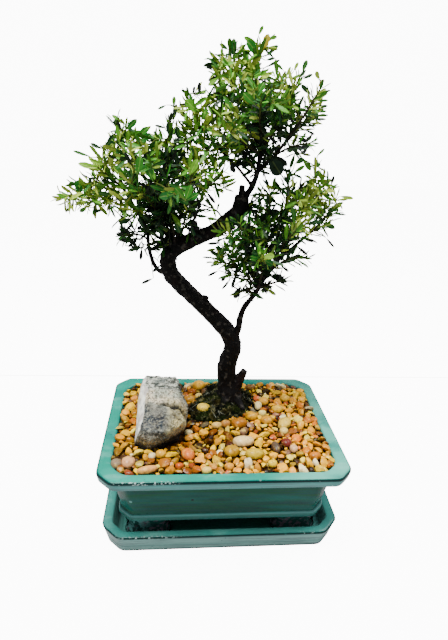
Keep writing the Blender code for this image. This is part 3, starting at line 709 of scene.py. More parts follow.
def glazeFinish():
    glaze = Finish("turquoiseGlaze", (6, 134, 116), 0.22,
                   {"Specular IOR Level": 0.14, "Coat Weight": 0.05, "Coat Roughness": 0.05})
    deep = glaze.attribute("deep")
    veil = glaze.attribute("veil")
    line = glaze.attribute("line")
    # clouds, a paler right end, and a darker wall on the tray
    glaze.mottle(22.0, 0.42, 0.62, (44, 166, 146), 0.5)
    glaze.layer((glaze.band("X", 0.1, 0.07), glaze.band("Z", 0.085, 0.06)), (120, 196, 180), 0.45)
    glaze.layer(glaze.band("Z", 0.02, 0.004), (0, 104, 102), 0.45)
    glaze.mottle(34.0, 0.5, 0.66, (14, 112, 104), 0.7, stretch=(0.6, 1, 1))
    glaze.mottle(90.0, 0.52, 0.7, (140, 206, 190), 0.25, stretch=(0.4, 1, 1))
    # deep green walls with streaks, runs and sheen
    glaze.layer(deep, (0, 76, 68))
    glaze.mottle(60.0, 0.42, 0.62, (2, 84, 44), 0.7, deep, stretch=(0.3, 0.3, 7.0))
    glaze.mottle(40.0, 0.5, 0.7, (0, 50, 54), 0.6, deep, stretch=(0.25, 0.25, 3.0))
    glaze.mottle(16.0, 0.46, 0.66, (0, 108, 102), 0.65, deep, stretch=(0.6, 0.6, 4.0))
    # grey veil where the glaze thins
    glaze.layer(veil, (106, 178, 176), 0.9)
    glaze.layer((glaze.band("Z", 0.008, 0.02), veil), (160, 202, 194), 0.6)
    glaze.mottle(110.0, 0.45, 0.62, (100, 118, 124), 0.6, veil, stretch=(0.3, 0.3, 6.0))
    # dark broken lines along the edges, with painted glints on them, and painted purple sheen and teal highlights
    # on the feet
    glaze.mottle(180.0, 0.18, 0.34, (0, 26, 30), 0.98, line)
    patches = glaze.maths("MAXIMUM", glaze.band("X", -0.067, 0.03), glaze.mask(60.0, 0.62, 0.68))
    glaze.layer((glaze.specks(420.0, 0.44), patches, glaze.maths("SUBTRACT", line, deep)), (190, 222, 218), 0.9)
    # bare picks out the feet mostly; the purple and teal mottles within it are painted sheen and painted highlights
    bare = glaze.times(line, glaze.maths("MAXIMUM", glaze.maths("SUBTRACT", deep, 0.4)))
    glaze.mottle(260.0, 0.5, 0.6, (132, 100, 122), 1.2, bare)
    glaze.mottle(200.0, 0.48, 0.54, (96, 150, 148), 3.0, glaze.band("X", -0.086, 0.024), bare)
    # painted shade on the tray's inner end walls and on the body's corner edges
    for side in (-1, 1):
        wall = (glaze.band("X", side * 0.093, 0.0065), glaze.band("Z", 0.0115, 0.011), glaze.band("Y", 0.0, 0.085))
        glaze.layer(wall, (0, 20, 30), 0.9)
        glaze.layer((glaze.band("X", side * 0.094, 0.012), glaze.band("Z", 0.056, 0.026)), (0, 56, 54), 0.65)
    for x, y, z, half, tone in glazeMarks:
        across = (glaze.band("X", x * mm, half * mm), glaze.band("Z", z * mm, half * mm))
        glaze.layer((*across, glaze.band("Y", y * mm, 0.006)), tone, 0.8)
    glaze.layer((glaze.specks(160.0, 0.12), glaze.mask(40.0, 0.55, 0.6)), (8, 26, 30), 0.8)
    glaze.raiseBy(glaze.mask(35.0, 0.2, 0.8), 0.7)
    glaze.raiseBy(glaze.mask(400.0, 0.3, 0.7), 0.06)
    return glaze.done(0.22, 0.0008)


glazePaint = glazeFinish()
makePot(pot, glazePaint)
makeTray(tray, glazePaint)
print("stage: pot and tray made")


# what the gravel hides

def hiddenFinishes():
    grit = Finish("pottingGrit", (58, 48, 40), 0.95)
    grit.mottle(500.0, 0.45, 0.6, (96, 80, 62), 0.7)
    grit.raiseBy(grit.mask(700.0, 0.3, 0.7), 1.0)
    net = Finish("plasticNet", (32, 32, 34), 0.5)
    net.mottle(300.0, 0.4, 0.7, (52, 52, 54), 0.5)
    return grit.done(0.5, 0.001), net.done()


gritPaint, netPaint = hiddenFinishes()
for nodeName, paint in (("soil", gritPaint), ("drain_screen_left", netPaint), ("drain_screen_right", netPaint)):
    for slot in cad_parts[nodeName].material_slots:
        slot.material = paint


# gravel

trunkFoot = (11.0, 30.0)
mossCentre = (4.0, 30.0)
# edge of the moss on the gravel, x and y, from the right round by the back
mossOutline = [
    (35, 34), (36, 50), (27, 60), (8, 66), (-9, 65), (-13, 50), (-22, 34), (-31, 21), (-31, 6), (-14, -5),
    (-1, 0), (10, 2), (25, 11),
]
rockFoot = {"left": -80.0, "right": -33.0, "front": -40.0, "back": 31.0, "leftCut": 7, "rightCut": 15}

gravel = {
    "seed": 7,
    "edgeLevel": 83.2,      # height of the bed at the rim and at the trunk
    "crownLevel": 85.0,
    "crownReach": (95.0, 85.0),
    "layers": [     # footprint, how many tries, spacing, sink
        (10.0, 90, 1.0, 0.0), (8.6, 600, 0.95, 0.1), (7.2, 3000, 0.9, 0.3), (6.0, 8000, 0.88, 0.3),
        (4.9, 14000, 0.86, 0.2), (3.9, 18000, 0.84, 0.0),
    ],
    "underLayer": (6.4, 3600, 0.85, 3.6),
    "smallUnder": 6.6,      # smaller stones than this have plainer shapes
    "underShade": 0.28,
    "bedFoot": (18.0, 74.4),        # inset and height of the bed under the stones
    "bedInset": 12.4,
    "bedEdge": (79.4, 80.0),
    "bedCut": 11.0,
    "bedUnder": 4.0,        # how far it lies under the level of the stones
    "colours": [    # share, colour
        (22, (200, 134, 0)), (21, (236, 166, 0)), (17, (252, 198, 0)), (12, (255, 222, 80)),
        (13, (150, 84, 0)), (10, (104, 58, 2)), (4, (214, 140, 40)), (2, (130, 68, 4)),
        (3, (255, 236, 176)), (3, (146, 66, 26)), (2, (120, 84, 66)),
        (1.5, (76, 26, 10)), (8, (76, 46, 6)), (1.5, (112, 100, 74)), (4, (160, 122, 0)), (4, (36, 22, 10)),
    ],
}

# pebbles that stand out: x, y, lift, length, width, height, turn, colour
namedPebbles = [
    (18, -32, 1.5, 21, 13, 10, 0.05, (240, 206, 140)), (26, -49, 1.2, 18, 12.5, 10, 0.0, (196, 166, 20)),
    (17.5, -5, 1.5, 17, 13, 10, 0.1, (160, 98, 4)), (-83, -57, 1.0, 12.5, 13, 9, 0.0, (224, 164, 112)),
    (-32.5, -48, 1.2, 12, 15, 9, 0.4, (212, 112, 40)), (62, -5, 1.5, 13, 19, 10, -0.5, (228, 192, 70)),
    (4.5, -5, 1.0, 10, 9, 8, 0.3, (178, 122, 50)), (-92.7, -58, 0.5, 10, 11, 8, 0.2, (136, 118, 92)),
    (-55.9, -47.5, 1.2, 10, 9, 9, 0.0, (218, 160, 12)), (-63.5, -48.7, 0.5, 7, 7, 6, 0.0, (240, 226, 180)),
    (-66.6, -66, 0.5, 19, 8, 7, 0.25, (230, 160, 84)), (31, 6.7, 1.5, 13, 12, 9, -0.7, (212, 156, 0)),
    (45.7, 0, 1.5, 14, 12, 9, 0.2, (204, 142, 10)), (6.3, -44.6, 1.0, 15, 14, 9, 0.3, (172, 130, 8)),
    (58.3, -34, 1.2, 11, 11, 8, 0.5, (104, 34, 30)), (63.2, -41.4, 0.8, 8, 9, 7, 0.0, (234, 184, 130)),
    (46.9, -39.7, 0.8, 8, 15, 8, 0.1, (78, 68, 56)), (-4.5, -7.2, 1.0, 11, 8, 7, 0.1, (220, 180, 90)),
    (-19, 62, 3.0, 15, 14, 12, 0.3, (240, 178, 34)), (-16.5, 14, 6.6, 14, 12, 9, 0.0, (246, 210, 70)),
    (-17.5, -69.5, 2.2, 9, 7, 6, 0.2, (234, 200, 96)), (-26.4, 53.3, 0.5, 11, 10, 8, 0.4, (146, 74, 0)),
    (-29.0, 39.0, 0.5, 14, 11, 8, 0.2, (180, 122, 22)), (-19.5, 43.7, 1.0, 9, 8, 7, 0.0, (236, 208, 110)),
    (59.3, -16.2, 1.0, 9, 9, 7, 0.0, (240, 208, 110)), (72, 40, 1.0, 12, 10, 8, 0.3, (230, 180, 50)),
    (48, 34, 1.0, 13, 11, 8, 0.9, (232, 168, 36)), (60, 20, 1.0, 14, 11, 8, 0.2, (240, 186, 24)),
    (80, -52, 0.8, 12, 9, 8, 0.2, (200, 118, 10)), (-40, -62, 0.5, 8, 7, 6, 0.1, (186, 84, 20)),
    (40, -61, 0.8, 9, 8, 7, 0.4, (240, 202, 30)), (2, -64, 0.6, 9, 8, 7, 0.2, (222, 152, 36)),
    (43, 12, 1.2, 9, 8, 7, 0.3, (250, 226, 120)), (41, 26, 1.0, 8, 14, 7, -0.2, (248, 226, 150)),
    (-23, 66, 1.0, 10, 9, 8, 0.0, (232, 210, 120)), (38, 61, 1.0, 13, 9, 8, 0.2, (120, 78, 22)),
]


def bedLevel(x, y):
    reachX, reachY = gravel["crownReach"]
    away = math.hypot((x - trunkFoot[0]) / reachX, (y - trunkFoot[1]) / reachY)
    return gravel["crownLevel"] - (gravel["crownLevel"] - gravel["edgeLevel"]) * min(1.0, away)


def insideRim(x, y, reach):
    # whether a stone of that reach lies within the pot's cut-cornered rim
    halfX = pot["length"] / 2 - pot["rimWidth"]
    halfY = pot["width"] / 2 - pot["rimWidth"]
    if abs(x) > halfX - reach or abs(y) > halfY - reach:
        return False
    return abs(x) + abs(y) < halfX + halfY - pot["cut"] - reach * 1.2


def mossReach(x, y):
    # how far the moss goes from its centre towards that point
    heading = math.atan2(y - mossCentre[1], x - mossCentre[0])
    corners = []
    for edgeX, edgeY in mossOutline:
        gap = Vector((edgeX - mossCentre[0], edgeY - mossCentre[1]))
        turn = (math.atan2(gap.y, gap.x) - heading + math.pi) % math.tau - math.pi
        corners.append((turn, gap.length))
    before = max((corner for corner in corners if corner[0] <= 0), default=max(corners))
    after = min((corner for corner in corners if corner[0] > 0), default=min(corners))
    share = -before[0] / (after[0] - before[0])
    return before[1] + (after[1] - before[1]) * share


def clearOfMossAndRock(x, y, reach):
    if math.hypot(x - mossCentre[0], y - mossCentre[1]) < mossReach(x, y) - 3 + reach * 0.5:
        return False
    margin = reach * 0.4
    besideX = x < rockFoot["left"] - margin or x > rockFoot["right"] + margin
    besideY = y < rockFoot["front"] - margin or y > rockFoot["back"] + margin
    # the foot's front corners are cut back
    leftCorner = (x - rockFoot["left"]) + (y - rockFoot["front"]) < rockFoot["leftCut"] - reach
    rightCorner = (rockFoot["right"] - x) + (y - rockFoot["front"]) < rockFoot["rightCut"] - reach
    return besideX or besideY or leftCorner or rightCorner


def stoneTint(draw, colour, x):
    # the stones are paler towards the right, as painted light
    lift = draw.uniform(0.68, 1.2) * (1 + 0.3 * clampShare(x / 60.0))
    lift = min(lift, 255 / max(colour))     # a brighter stone keeps its hue
    return srgb(*[min(255, max(0, level * lift + draw.uniform(-5, 5))) for level in colour])


def strewPebbles(user):
    draw = random.Random(user["seed"])
    shares, palette = zip(*user["colours"])
    marks = []
    taken = {}

    def cellOf(x, y):
        return int(x // 12), int(y // 12)

    def take(x, y, size):
        taken.setdefault(cellOf(x, y), []).append((x, y, size))

    def isFree(x, y, size, spacing):
        column, row = cellOf(x, y)
        for i in range(column - 2, column + 3):
            for j in range(row - 2, row + 3):
                for px, py, other in taken.get((i, j), ()):
                    if math.hypot(x - px, y - py) < spacing * (size + other) / 2:
                        return False
        return True

    def anywhere():
        return draw.uniform(-1, 1) * pot["length"] / 2, draw.uniform(-1, 1) * pot["width"] / 2

    for x, y, lift, length, width, height, turn, colour in namedPebbles:
        take(x, y, (length + width) / 2)
        marks.append({"at": Vector((x, y, bedLevel(x, y) + lift)), "turn": (0.0, 0.0, turn), "variant": 0,
                      "size": (length, width, height), "stone": srgb(*colour)})
    for size, tries, spacing, sink in user["layers"]:
        for _ in range(tries):
            x, y = anywhere()
            if not insideRim(x, y, size * 0.22) or not clearOfMossAndRock(x, y, size * 0.5):
                continue
            own = size * draw.uniform(0.88, 1.12)
            if isFree(x, y, own, spacing):
                take(x, y, own)
                marks.append(pebbleMark(draw, x, y, own, draw.uniform(-0.6, 1.4) - sink, palette, shares))
    # a lower layer of stones shows through the gaps, its colours darkened by underShade as painted shade
    size, tries, spacing, sink = user["underLayer"]
    taken.clear()
    for _ in range(tries):
        x, y = anywhere()
        if insideRim(x, y, size * 0.6) and clearOfMossAndRock(x, y, 0) and isFree(x, y, size, spacing):
            take(x, y, size)
            mark = pebbleMark(draw, x, y, size * 0.9, -sink, palette, shares)
            mark["stone"] = tuple(level * user["underShade"] for level in mark["stone"][:3]) + (1.0,)
            marks.append(mark)
    return marks


def pebbleMark(draw, x, y, size, lift, palette, shares):
    return {
        "at": Vector((x, y, bedLevel(x, y) + lift)),
        "turn": (draw.uniform(-0.5, 0.5), draw.uniform(-0.5, 0.5), draw.uniform(0, math.tau)),
        "size": (size * draw.uniform(1.15, 1.6), size * draw.uniform(0.9, 1.2), size * draw.uniform(0.75, 1.05)),
        "variant": draw.randrange(1, 6),
        "stone": stoneTint(draw, draw.choices(palette, shares)[0], x),
    }


# a rounded stone and five worn chips: name, flat sides, how flat they are, seed
stoneKinds = [
    ("A", 0, 0.0, 1), ("B", 9, 0.6, 5), ("C", 8, 0.9, 9), ("D", 7, 1.0, 14), ("E", 10, 0.95, 22), ("F", 6, 0.9, 31),
]


def stoneMesh(name, flats, chip, seed, detail):
    # one unit long
    draw = random.Random(seed)
    sides = [(Vector([draw.gauss(0, 1) for _ in range(3)]).normalized(), draw.uniform(0.46, 0.8))
             for _ in range(flats)]
    shape = bmesh.new()
    bmesh.ops.create_icosphere(shape, subdivisions=detail, radius=0.5 * mm)
    for vertex in shape.verts:
        way = vertex.co.normalized()
        cuts = [depth / max(0.05, way.dot(normal)) for normal, depth in sides if way.dot(normal) > 0.3]
        swell = 0.12 * noise.noise(way * 1.3 + Vector((seed, 0, 0)))
        vertex.co *= (1 - chip) + chip * min([1.0] + cuts) + swell
    mesh = bpy.data.meshes.new(name)
    shape.to_mesh(mesh)
    shape.free()
    # faces that look sideways or down are marked in low, for painted shade
    low = [clampShare(0.75 - face.normal.z * 1.05) for face in mesh.polygons]
    setValues(mesh, "low", low, domain="FACE")
    smoothBy(mesh, 26 if flats else 60)
    return mesh


def pebbleFinish():
    stone = Finish("riverPebbles", None, 0.35,
                   {"Specular IOR Level": 0.16, "Coat Weight": 0.12, "Coat Roughness": 0.1})
    stone.colour = stone.attribute("stone", "Color")
    stone.mottle(320.0, 0.5, 0.68, (106, 52, 4), 0.5)
    # the pale yellow patches are painted highlights
    stone.mottle(190.0, 0.55, 0.72, (255, 214, 90), 0.45)
    stone.layer(stone.specks(900.0, 0.2), (60, 36, 14), 0.3)
    # painted shade on the faces that look sideways or down
    stone.layer(stone.attribute("low"), (48, 24, 4), 0.8)
    stone.raiseBy(stone.mask(600.0, 0.3, 0.7), 1.0)
    return stone.done(0.15, 0.0006)


def bedFinish():
    grit = Finish("gravelBed", (46, 26, 10), 0.9, {"Specular IOR Level": 0.1})
    grit.mottle(260.0, 0.4, 0.6, (104, 64, 22), 0.7)
    grit.raiseBy(grit.specks(260.0, 0.5), 1.0)
    return grit.done(0.4, 0.001)


def makePebbles(user):
    paint = pebbleFinish()
    marks = strewPebbles(user)
    limit = user["smallUnder"]
    for name, detail, chosen in (("pebbles", 2, [mark for mark in marks if mark["size"][0] >= limit]),
                                 ("smallPebbles", 1, [mark for mark in marks if mark["size"][0] < limit])):
        shapes = shapeSet(name + "Shape", [stoneMesh(name + "Shape" + letter, flats, chip, seed, detail)
                                           for letter, flats, chip, seed in stoneKinds])
        stones = runTree(name, pointMesh(name + "Points", chosen, ["stone"]), placingTree,
                         {"Shapes": shapes, "Size": 1.0, "Sway": 0.0, "Seed": 1, "Finish": paint})
        onBody(stones, "gravel", "gravel")
        print("stage:", name, len(chosen))


def makeBed(user):
    # a dark bed that closes the gaps between the stones
    low, high = user["bedEdge"]
    rings = []
    for inset, z in (user["bedFoot"], (user["bedInset"], low), (user["bedInset"], high)):
        rings.append(cornerRing(pot["length"] / 2 - inset, pot["width"] / 2 - inset, user["bedCut"], z, 3, 0.32))
    edge = rings[-1]
    for scale in (0.8, 0.6, 0.4):
        ring = []
        for x, y, _ in edge:
            px = x * scale + trunkFoot[0] * (1 - scale)
            py = y * scale + trunkFoot[1] * (1 - scale)
            ring.append((px, py, bedLevel(px, py) - user["bedUnder"]))
        rings.append(ring)
    bed = showObject("gravelBed", loftRings("gravelBed", rings))
    smoothBy(bed.data, 50)
    dress(bed.data, bedFinish())
    onBody(bed, "gravel", "gravel")


makePebbles(gravel)
makeBed(gravel)
print("stage: gravel strewn")


# rock

rock = {
    # corners of each level, from the front left one round by the right: height, then x and y pairs
    "levels": [
        (78, (-80, -31), (-67, -38), (-53, -31), (-42, -23), (-37, 0), (-40, 27), (-73, 29), (-80, 0)),
        (86, (-79.8, -34), (-66, -41), (-53, -34), (-41, -25), (-34, 2), (-38, 30), (-75, 32), (-80.3, 0)),
        (95, (-78.0, -37), (-64, -43), (-50, -40), (-35, -24), (-31.8, 0), (-38, 31), (-76.5, 32), (-80.0, 0)),
        (103, (-75.6, -37), (-62, -42.5), (-50, -40), (-35, -24.5), (-33.5, 2), (-39, 30), (-77.0, 31), (-79.6, 0)),
        (108, (-72.8, -29), (-61, -36), (-51, -35), (-37.5, -24), (-36, 3), (-40, 29), (-77.0, 30), (-79.2, 0)),
        (113, (-71.8, -17), (-61, -22), (-50, -23), (-39, -18.5), (-38, 3), (-42, 28), (-77.0, 29), (-78.4, 3)),
        (118.5, (-70.8, -3), (-61, -4.5), (-50, -4), (-41.5, -3), (-40.5, 7), (-43, 26), (-75.0, 27), (-75.5, 9)),
        (121, (-69.8, 0), (-61, -1), (-50, 0), (-43.5, 1), (-42.5, 9), (-45, 24), (-72, 25), (-71, 10)),
    ],
    "edge": 1.6,            # rounding of the corners
    "voxel": 0.62,
    "relax": (0.6, 4),      # strength and rounds
    "crackAt": (-17.5, -48.0, -0.12),   # y at an x, and slope, of the cleft over the front bulge
    "crackFrom": -62.0,
    "crackDepth": 3.2,
    "crackLip": 1.0,
    "relief": (1.3, 0.75, 0.4),         # height of broad, middling and fine roughness
}


def crackShare(user, point):
    # how deep in the cleft a point is, and how much on its lower lip
    y, x, slope = user["crackAt"]
    line = y + slope * (point.x - x) + 1.6 * noise.noise(Vector((point.x, 0, 5)) * 0.16)
    reach = clampShare((point.x - user["crackFrom"]) / 6.0) * clampShare((point.z - 98) / 5.0)
    width = 1.2 + 1.6 * clampShare((point.x + 50) / 5.0)
    inside = 1.5 * math.exp(-((point.y - line) / width) ** 2)
    return min(1.0, inside) * reach, clampShare((line - point.y) / 3.0) * reach


def rockRelief(user, here, crack, lip, onFace):
    # how far the surface stands out at a point
    broad = noise.noise(here * 0.09) + 0.6 * noise.noise(here * 0.2 + Vector((0, 0, 9)))
    middling = abs(noise.noise(here * 0.42 + Vector((4, 0, 0)))) * 2 - 0.5
    fine = noise.noise(here * 1.25) + 0.5 * noise.noise(here * 2.3)
    heights = user["relief"]
    calm = 1 - 0.75 * onFace
    rough = calm * (heights[0] * broad + heights[1] * middling + heights[2] * fine)
    return broad, rough - user["crackDepth"] * crack + user["crackLip"] * lip


def rockTones(here, broad, crack, onFace):
    # the share of each tone at a point: it comes in over some millimetres from a line or a height
    x, y, z = here
    right = clampShare((x + 55 + 3.5 * broad) / 10.0)
    front = clampShare((-7.0 - y + 3.0 * broad) / 10.0)
    upper = clampShare((z - 88 + 3.0 * broad) / 14.0)
    underTop = clampShare((117 - z + 2 * broad) / 6.0)
    lowLeft = clampShare((104 - z) / 6.0) * clampShare((-52 - x) / 8.0)
    # ridge and step are painted shade: a dark line down the left ridge and one along the slab's step
    ridge = math.exp(-((x + 69.0) / 0.6) ** 2) * clampShare((y + 16) / 3) * clampShare((8 - y) / 3)
    step = math.exp(-((y - 1.2 - 0.04 * (x + 56)) / 0.8) ** 2) * clampShare((x + 64) / 5.0)
    foot = clampShare((90 + 1.5 * broad - z) / 4.5)
    lowRight = clampShare((94 - z) / 8.0) * clampShare((x + 62) / 14.0)
    return {
        "crack": crack,
        "slab": clampShare((y + 2.0) / 4.0),
        "slate": front * (1 - right * upper) * underTop * (1 - 0.5 * lowLeft),
        "olive": front * right * upper,
        "cleft": onFace,
        "border": onFace * clampShare((y + 7) / 5.0) * clampShare((116 - z) / 6.0),
        "ledge": max(0.7 * ridge, step * clampShare((z - 110) / 4)),
        "shadow": max(foot, lowRight) * clampShare((-8 - y) / 5.0),
    }


def makeRock(user):
    rings = [[(x, y, z) for x, y in corners] for z, *corners in user["levels"]]
    boulder = showObject("boulder", loftRings("boulder", rings))
    bevel = boulder.modifiers.new("edge", "BEVEL")
    bevel.width = user["edge"] * mm
    bevel.segments = 2
    bevel.angle_limit = math.radians(12)
    fuse(boulder, user["voxel"], *user["relax"])
    mesh = boulder.data
    pushes = []
    tones = []
    for vertex in mesh.vertices:
        here = vertex.co / mm
        crack, lip = crackShare(user, here)
        steep = 0.4 + 0.45 * clampShare((104 - here.z) / 14.0)
        onFace = clampShare((-vertex.normal.x - steep) / 0.15) * clampShare((-69.0 - here.x) / 1.2)
        broad, push = rockRelief(user, here, crack, lip, onFace)
        pushes.append(push)
        tones.append(rockTones(here, broad, crack, onFace))
    pushOut(mesh, pushes)
    for name in tones[0]:
        setValues(mesh, name, [tone[name] for tone in tones])
    dress(mesh, rockFinish())
    onBody(boulder, "rock", "rock")


def rockFinish():
    stone = Finish("boulderStone", (236, 222, 190), 0.9, {"Specular IOR Level": 0.2})
    slab, olive, slate, cleft = [stone.attribute(name) for name in ("slab", "olive", "slate", "cleft")]
    front = stone.maths("MAXIMUM", olive, slate)
    # speckled stone
    stone.mottle(70.0, 0.44, 0.6, (176, 186, 168), 0.9)
    stone.mottle(430.0, 0.48, 0.58, (92, 88, 74), 0.7)
    stone.mottle(620.0, 0.55, 0.65, (240, 236, 222), 0.6)
    # grey slab at the back
    stone.layer(slab, (204, 208, 194))
    stone.mottle(160.0, 0.46, 0.58, (96, 106, 104), 0.85, slab)
    stone.mottle(300.0, 0.5, 0.58, (36, 44, 40), 0.9, slab, stretch=(0.7, 1, 1))
    # olive and slate front, with pits, crumbs and dark seams
    stone.layer(olive, (206, 192, 134))
    stone.mottle(90.0, 0.46, 0.62, (232, 222, 168), 0.75, olive)
    stone.layer(slate, (56, 64, 70))
    stone.mottle(120.0, 0.48, 0.6, (112, 114, 110), 0.7, slate)
    stone.mottle(130.0, 0.53, 0.66, (34, 30, 34), 0.7, front, stretch=(0.7, 1, 1))
    stone.mottle(460.0, 0.5, 0.6, (164, 162, 144), 0.55, front)
    wander = stone.maths("ABSOLUTE", stone.maths("SUBTRACT", stone.mask(75.0, 0.2, 0.8), 0.5))
    stone.layer((stone.span(wander, 0.05, 0.0), front), (24, 22, 26), 0.8)
    stone.mottle(520.0, 0.54, 0.62, (64, 64, 58), 0.65)
    # painted shade along the left ridge and the slab's step
    stone.layer(stone.attribute("ledge"), (72, 70, 66), 0.75)
    # pale split face at the left, made near white partly as painted light on that side
    stone.layer(cleft, (255, 255, 244), 0.97)
    stone.mottle(120.0, 0.5, 0.64, (176, 158, 152), 0.7, cleft, stretch=(1, 0.5, 1))
    stone.mottle(240.0, 0.48, 0.6, (150, 152, 158), 0.6, cleft, stretch=(1, 0.6, 0.6))
    stone.layer(stone.attribute("border"), (196, 168, 128), 0.8)
    # the cleft painted near black as painted shade in it
    stone.layer(stone.attribute("crack"), (16, 18, 20), 0.98)
    stone.layer(stone.attribute("shadow"), (26, 20, 26), 0.85)
    stone.raiseBy(stone.mask(300.0, 0.2, 0.8, detail=6.0), 1.0)
    stone.raiseBy(stone.mask(900.0, 0.3, 0.7), 0.4)
    return stone.done(0.7, 0.0014)


makeRock(rock)
print("stage: rock carved")


# moss

moss = {
    # share of the radius and height of each ring, foot to top
    "shape": [(1.0, 74.4), (1.02, 80.0), (1.0, 83.5), (0.93, 85.6), (0.82, 87.6), (0.68, 89.8), (0.52, 92.0),
              (0.38, 94.2), (0.22, 95.5)],
    "steps": 120,           # points to a ring
    "ripples": [(7, 0.04, 0.5), (11, 0.03, 1.9)],   # waves, height, shift
    "lumps": [(1.9, 0.2, 0), (1.1, 0.55, 7)],       # height, how close together, which part of the noise
    "lumpsAbove": 82,
    "strandsAbove": 81.5,
    "density": 1.9e6,       # strands to the square metre
    "strand": 3.6,
    "shortest": 0.5,        # share of that length
    "longest": 1.4,
    "lean": 1.2,
    "seed": 5,
}


def mossEdge(angle):
    ripple = 1 + sum(height * math.sin(waves * angle + shift) for waves, height, shift in moss["ripples"])
    reach = mossReach(mossCentre[0] + math.cos(angle), mossCentre[1] + math.sin(angle)) * ripple
    return reach * math.cos(angle), reach * math.sin(angle)


def mossFinishes():
    peat = Finish("mossBed", (10, 12, 8), 0.95, {"Specular IOR Level": 0.05})
    peat.mottle(300.0, 0.45, 0.6, (26, 30, 14), 0.6)
    peat.raiseBy(peat.mask(500.0, 0.3, 0.7), 1.0)
    green = Finish("mossStrands", (12, 20, 8), 0.9, {"Specular IOR Level": 0.1})
    green.mottle(55.0, 0.44, 0.6, (44, 58, 20), 0.85)
    green.mottle(130.0, 0.54, 0.64, (92, 82, 34), 0.7)
    green.mottle(260.0, 0.56, 0.66, (170, 168, 120), 0.6)
    green.mottle(70.0, 0.5, 0.62, (6, 8, 6), 0.85)
    return peat.done(0.6, 0.001), green.done()


def strandMesh(name, bend):
    # three-sided, one unit long, bent to one side
    points = []
    for width, t in ((0.10, 0.0), (0.08, 0.4), (0.05, 0.75)):
        for corner in range(3):
            angle = corner * math.tau / 3
            points.append((width * math.cos(angle) + bend * t * t, width * math.sin(angle), t))
    points.append((bend, 0, 1.0))
    faces = [(2, 1, 0)]
    for low in (0, 3):
        for i in range(3):
            j = (i + 1) % 3
            faces.append((low + i, low + j, low + 3 + j, low + 3 + i))
    faces += [(6, 7, 9), (7, 8, 9), (8, 6, 9)]
    strand = meshFrom(name, points, faces)
    strand.shade_smooth()
    return strand


def makeMoss(user):
    rings = []
    for scale, z in user["shape"]:
        ring = []
        for i in range(user["steps"]):
            edgeX, edgeY = mossEdge(i * math.tau / user["steps"])
            x = mossCentre[0] + edgeX * scale
            y = mossCentre[1] + edgeY * scale
            rise = sum(height * noise.noise(Vector((x, y, part)) * closeness)
                       for height, closeness, part in user["lumps"])
            ring.append((x, y, z + (rise if z > user["lumpsAbove"] else 0)))
        rings.append(ring)
    mound = showObject("mossMound", loftRings("mossMound", rings))
    smoothBy(mound.data, 70)
    peat, green = mossFinishes()
    dress(mound.data, peat)
    # the strands stand on all but the buried foot of the mound
    ground = showObject("mossGround", mound.data.copy())
    trimmed = bmesh.new()
    trimmed.from_mesh(ground.data)
    low = [face for face in trimmed.faces if face.calc_center_median().z < user["strandsAbove"] * mm]
    bmesh.ops.delete(trimmed, geom=low, context="FACES")
    trimmed.to_mesh(ground.data)
    trimmed.free()
    strands = shapeSet("mossShapes", [strandMesh(name, bend) for name, bend in (
        ("strandA", 0.25), ("strandB", 0.6), ("strandC", -0.4))])
    tufts = runTree("mossStrands", ground, tuftTree,
                    {"Strands": strands, "Density": user["density"], "Length": user["strand"],
                     "Shortest": user["shortest"], "Longest": user["longest"], "Lean": user["lean"],
                     "Seed": user["seed"], "Finish": green})
    onBody(mound, "moss", "moss")
    onBody(tufts, "moss", "moss")


# pale dead roots and stems that lie over the moss
deadRoots = {
    "seed": 9,
    "count": 26,
    "length": (4, 10),
    "radius": (0.34, 0.03),     # at the start, and what each of the five steps takes off
    "level": (98.6, 10.5),      # height over the middle, and the drop to the edge
    "pale": [       # thicker ones, points along each
        [(5, 21.5, 95.2), (8, 19.5, 95.0), (11, 18.2, 94.4), (14.5, 16.5, 93.2)],
        [(9, 19, 95.0), (10, 22, 96.2), (10.6, 25, 97.4)],
        [(-8, 15, 93.6), (-6, 12, 92.6), (-5.2, 8, 91.0)],
        [(-2, 8, 91.6), (1, 5.5, 90.4), (4, 4.4, 89.2)],
    ],
    "paleRadius": (0.6, 0.08),
}


def makeRootThreads(user):
    draw = random.Random(user["seed"])
    radius, thinner = user["radius"]
    level, drop = user["level"]
    lines = []
    for _ in range(user["count"]):
        angle = draw.uniform(0, math.tau)
        reach = draw.uniform(0.4, 0.98)
        edgeX, edgeY = mossEdge(angle)
        x = mossCentre[0] + edgeX * reach
        y = mossCentre[1] + edgeY * reach
        heading = draw.uniform(0, math.tau)
        length = draw.uniform(*user["length"])
        line = []
        for k in range(6):
            px = x + length * k / 5 * math.cos(heading + 0.12 * k)
            py = y + length * k / 5 * math.sin(heading + 0.12 * k)
            out = math.hypot(px - mossCentre[0], py - mossCentre[1]) / mossReach(px, py)
            z = level - drop * min(out, 1.2) ** 1.5 + 1.0 * math.sin(k * 1.3 + x)
            line.append((Vector((px, py, z)), radius - thinner * k))
        lines.append(line)
    radius, thinner = user["paleRadius"]
    for route in user["pale"]:
        lines.append([(Vector(point), radius - thinner * k) for k, point in enumerate(route)])
    straw = Finish("driedRoots", (120, 124, 108), 0.8)
    straw.mottle(200.0, 0.45, 0.6, (44, 44, 34), 0.7)
    threads = runTree("rootThreads", lineCurve("rootLines", lines), followTree,
                      {"Sides": 5, "Thickness": mm, "Finish": straw.done()})
    onBody(threads, "moss", "moss")


makeMoss(moss)
makeRootThreads(deadRoots)
print("stage: moss grown")


# trunk and limbs

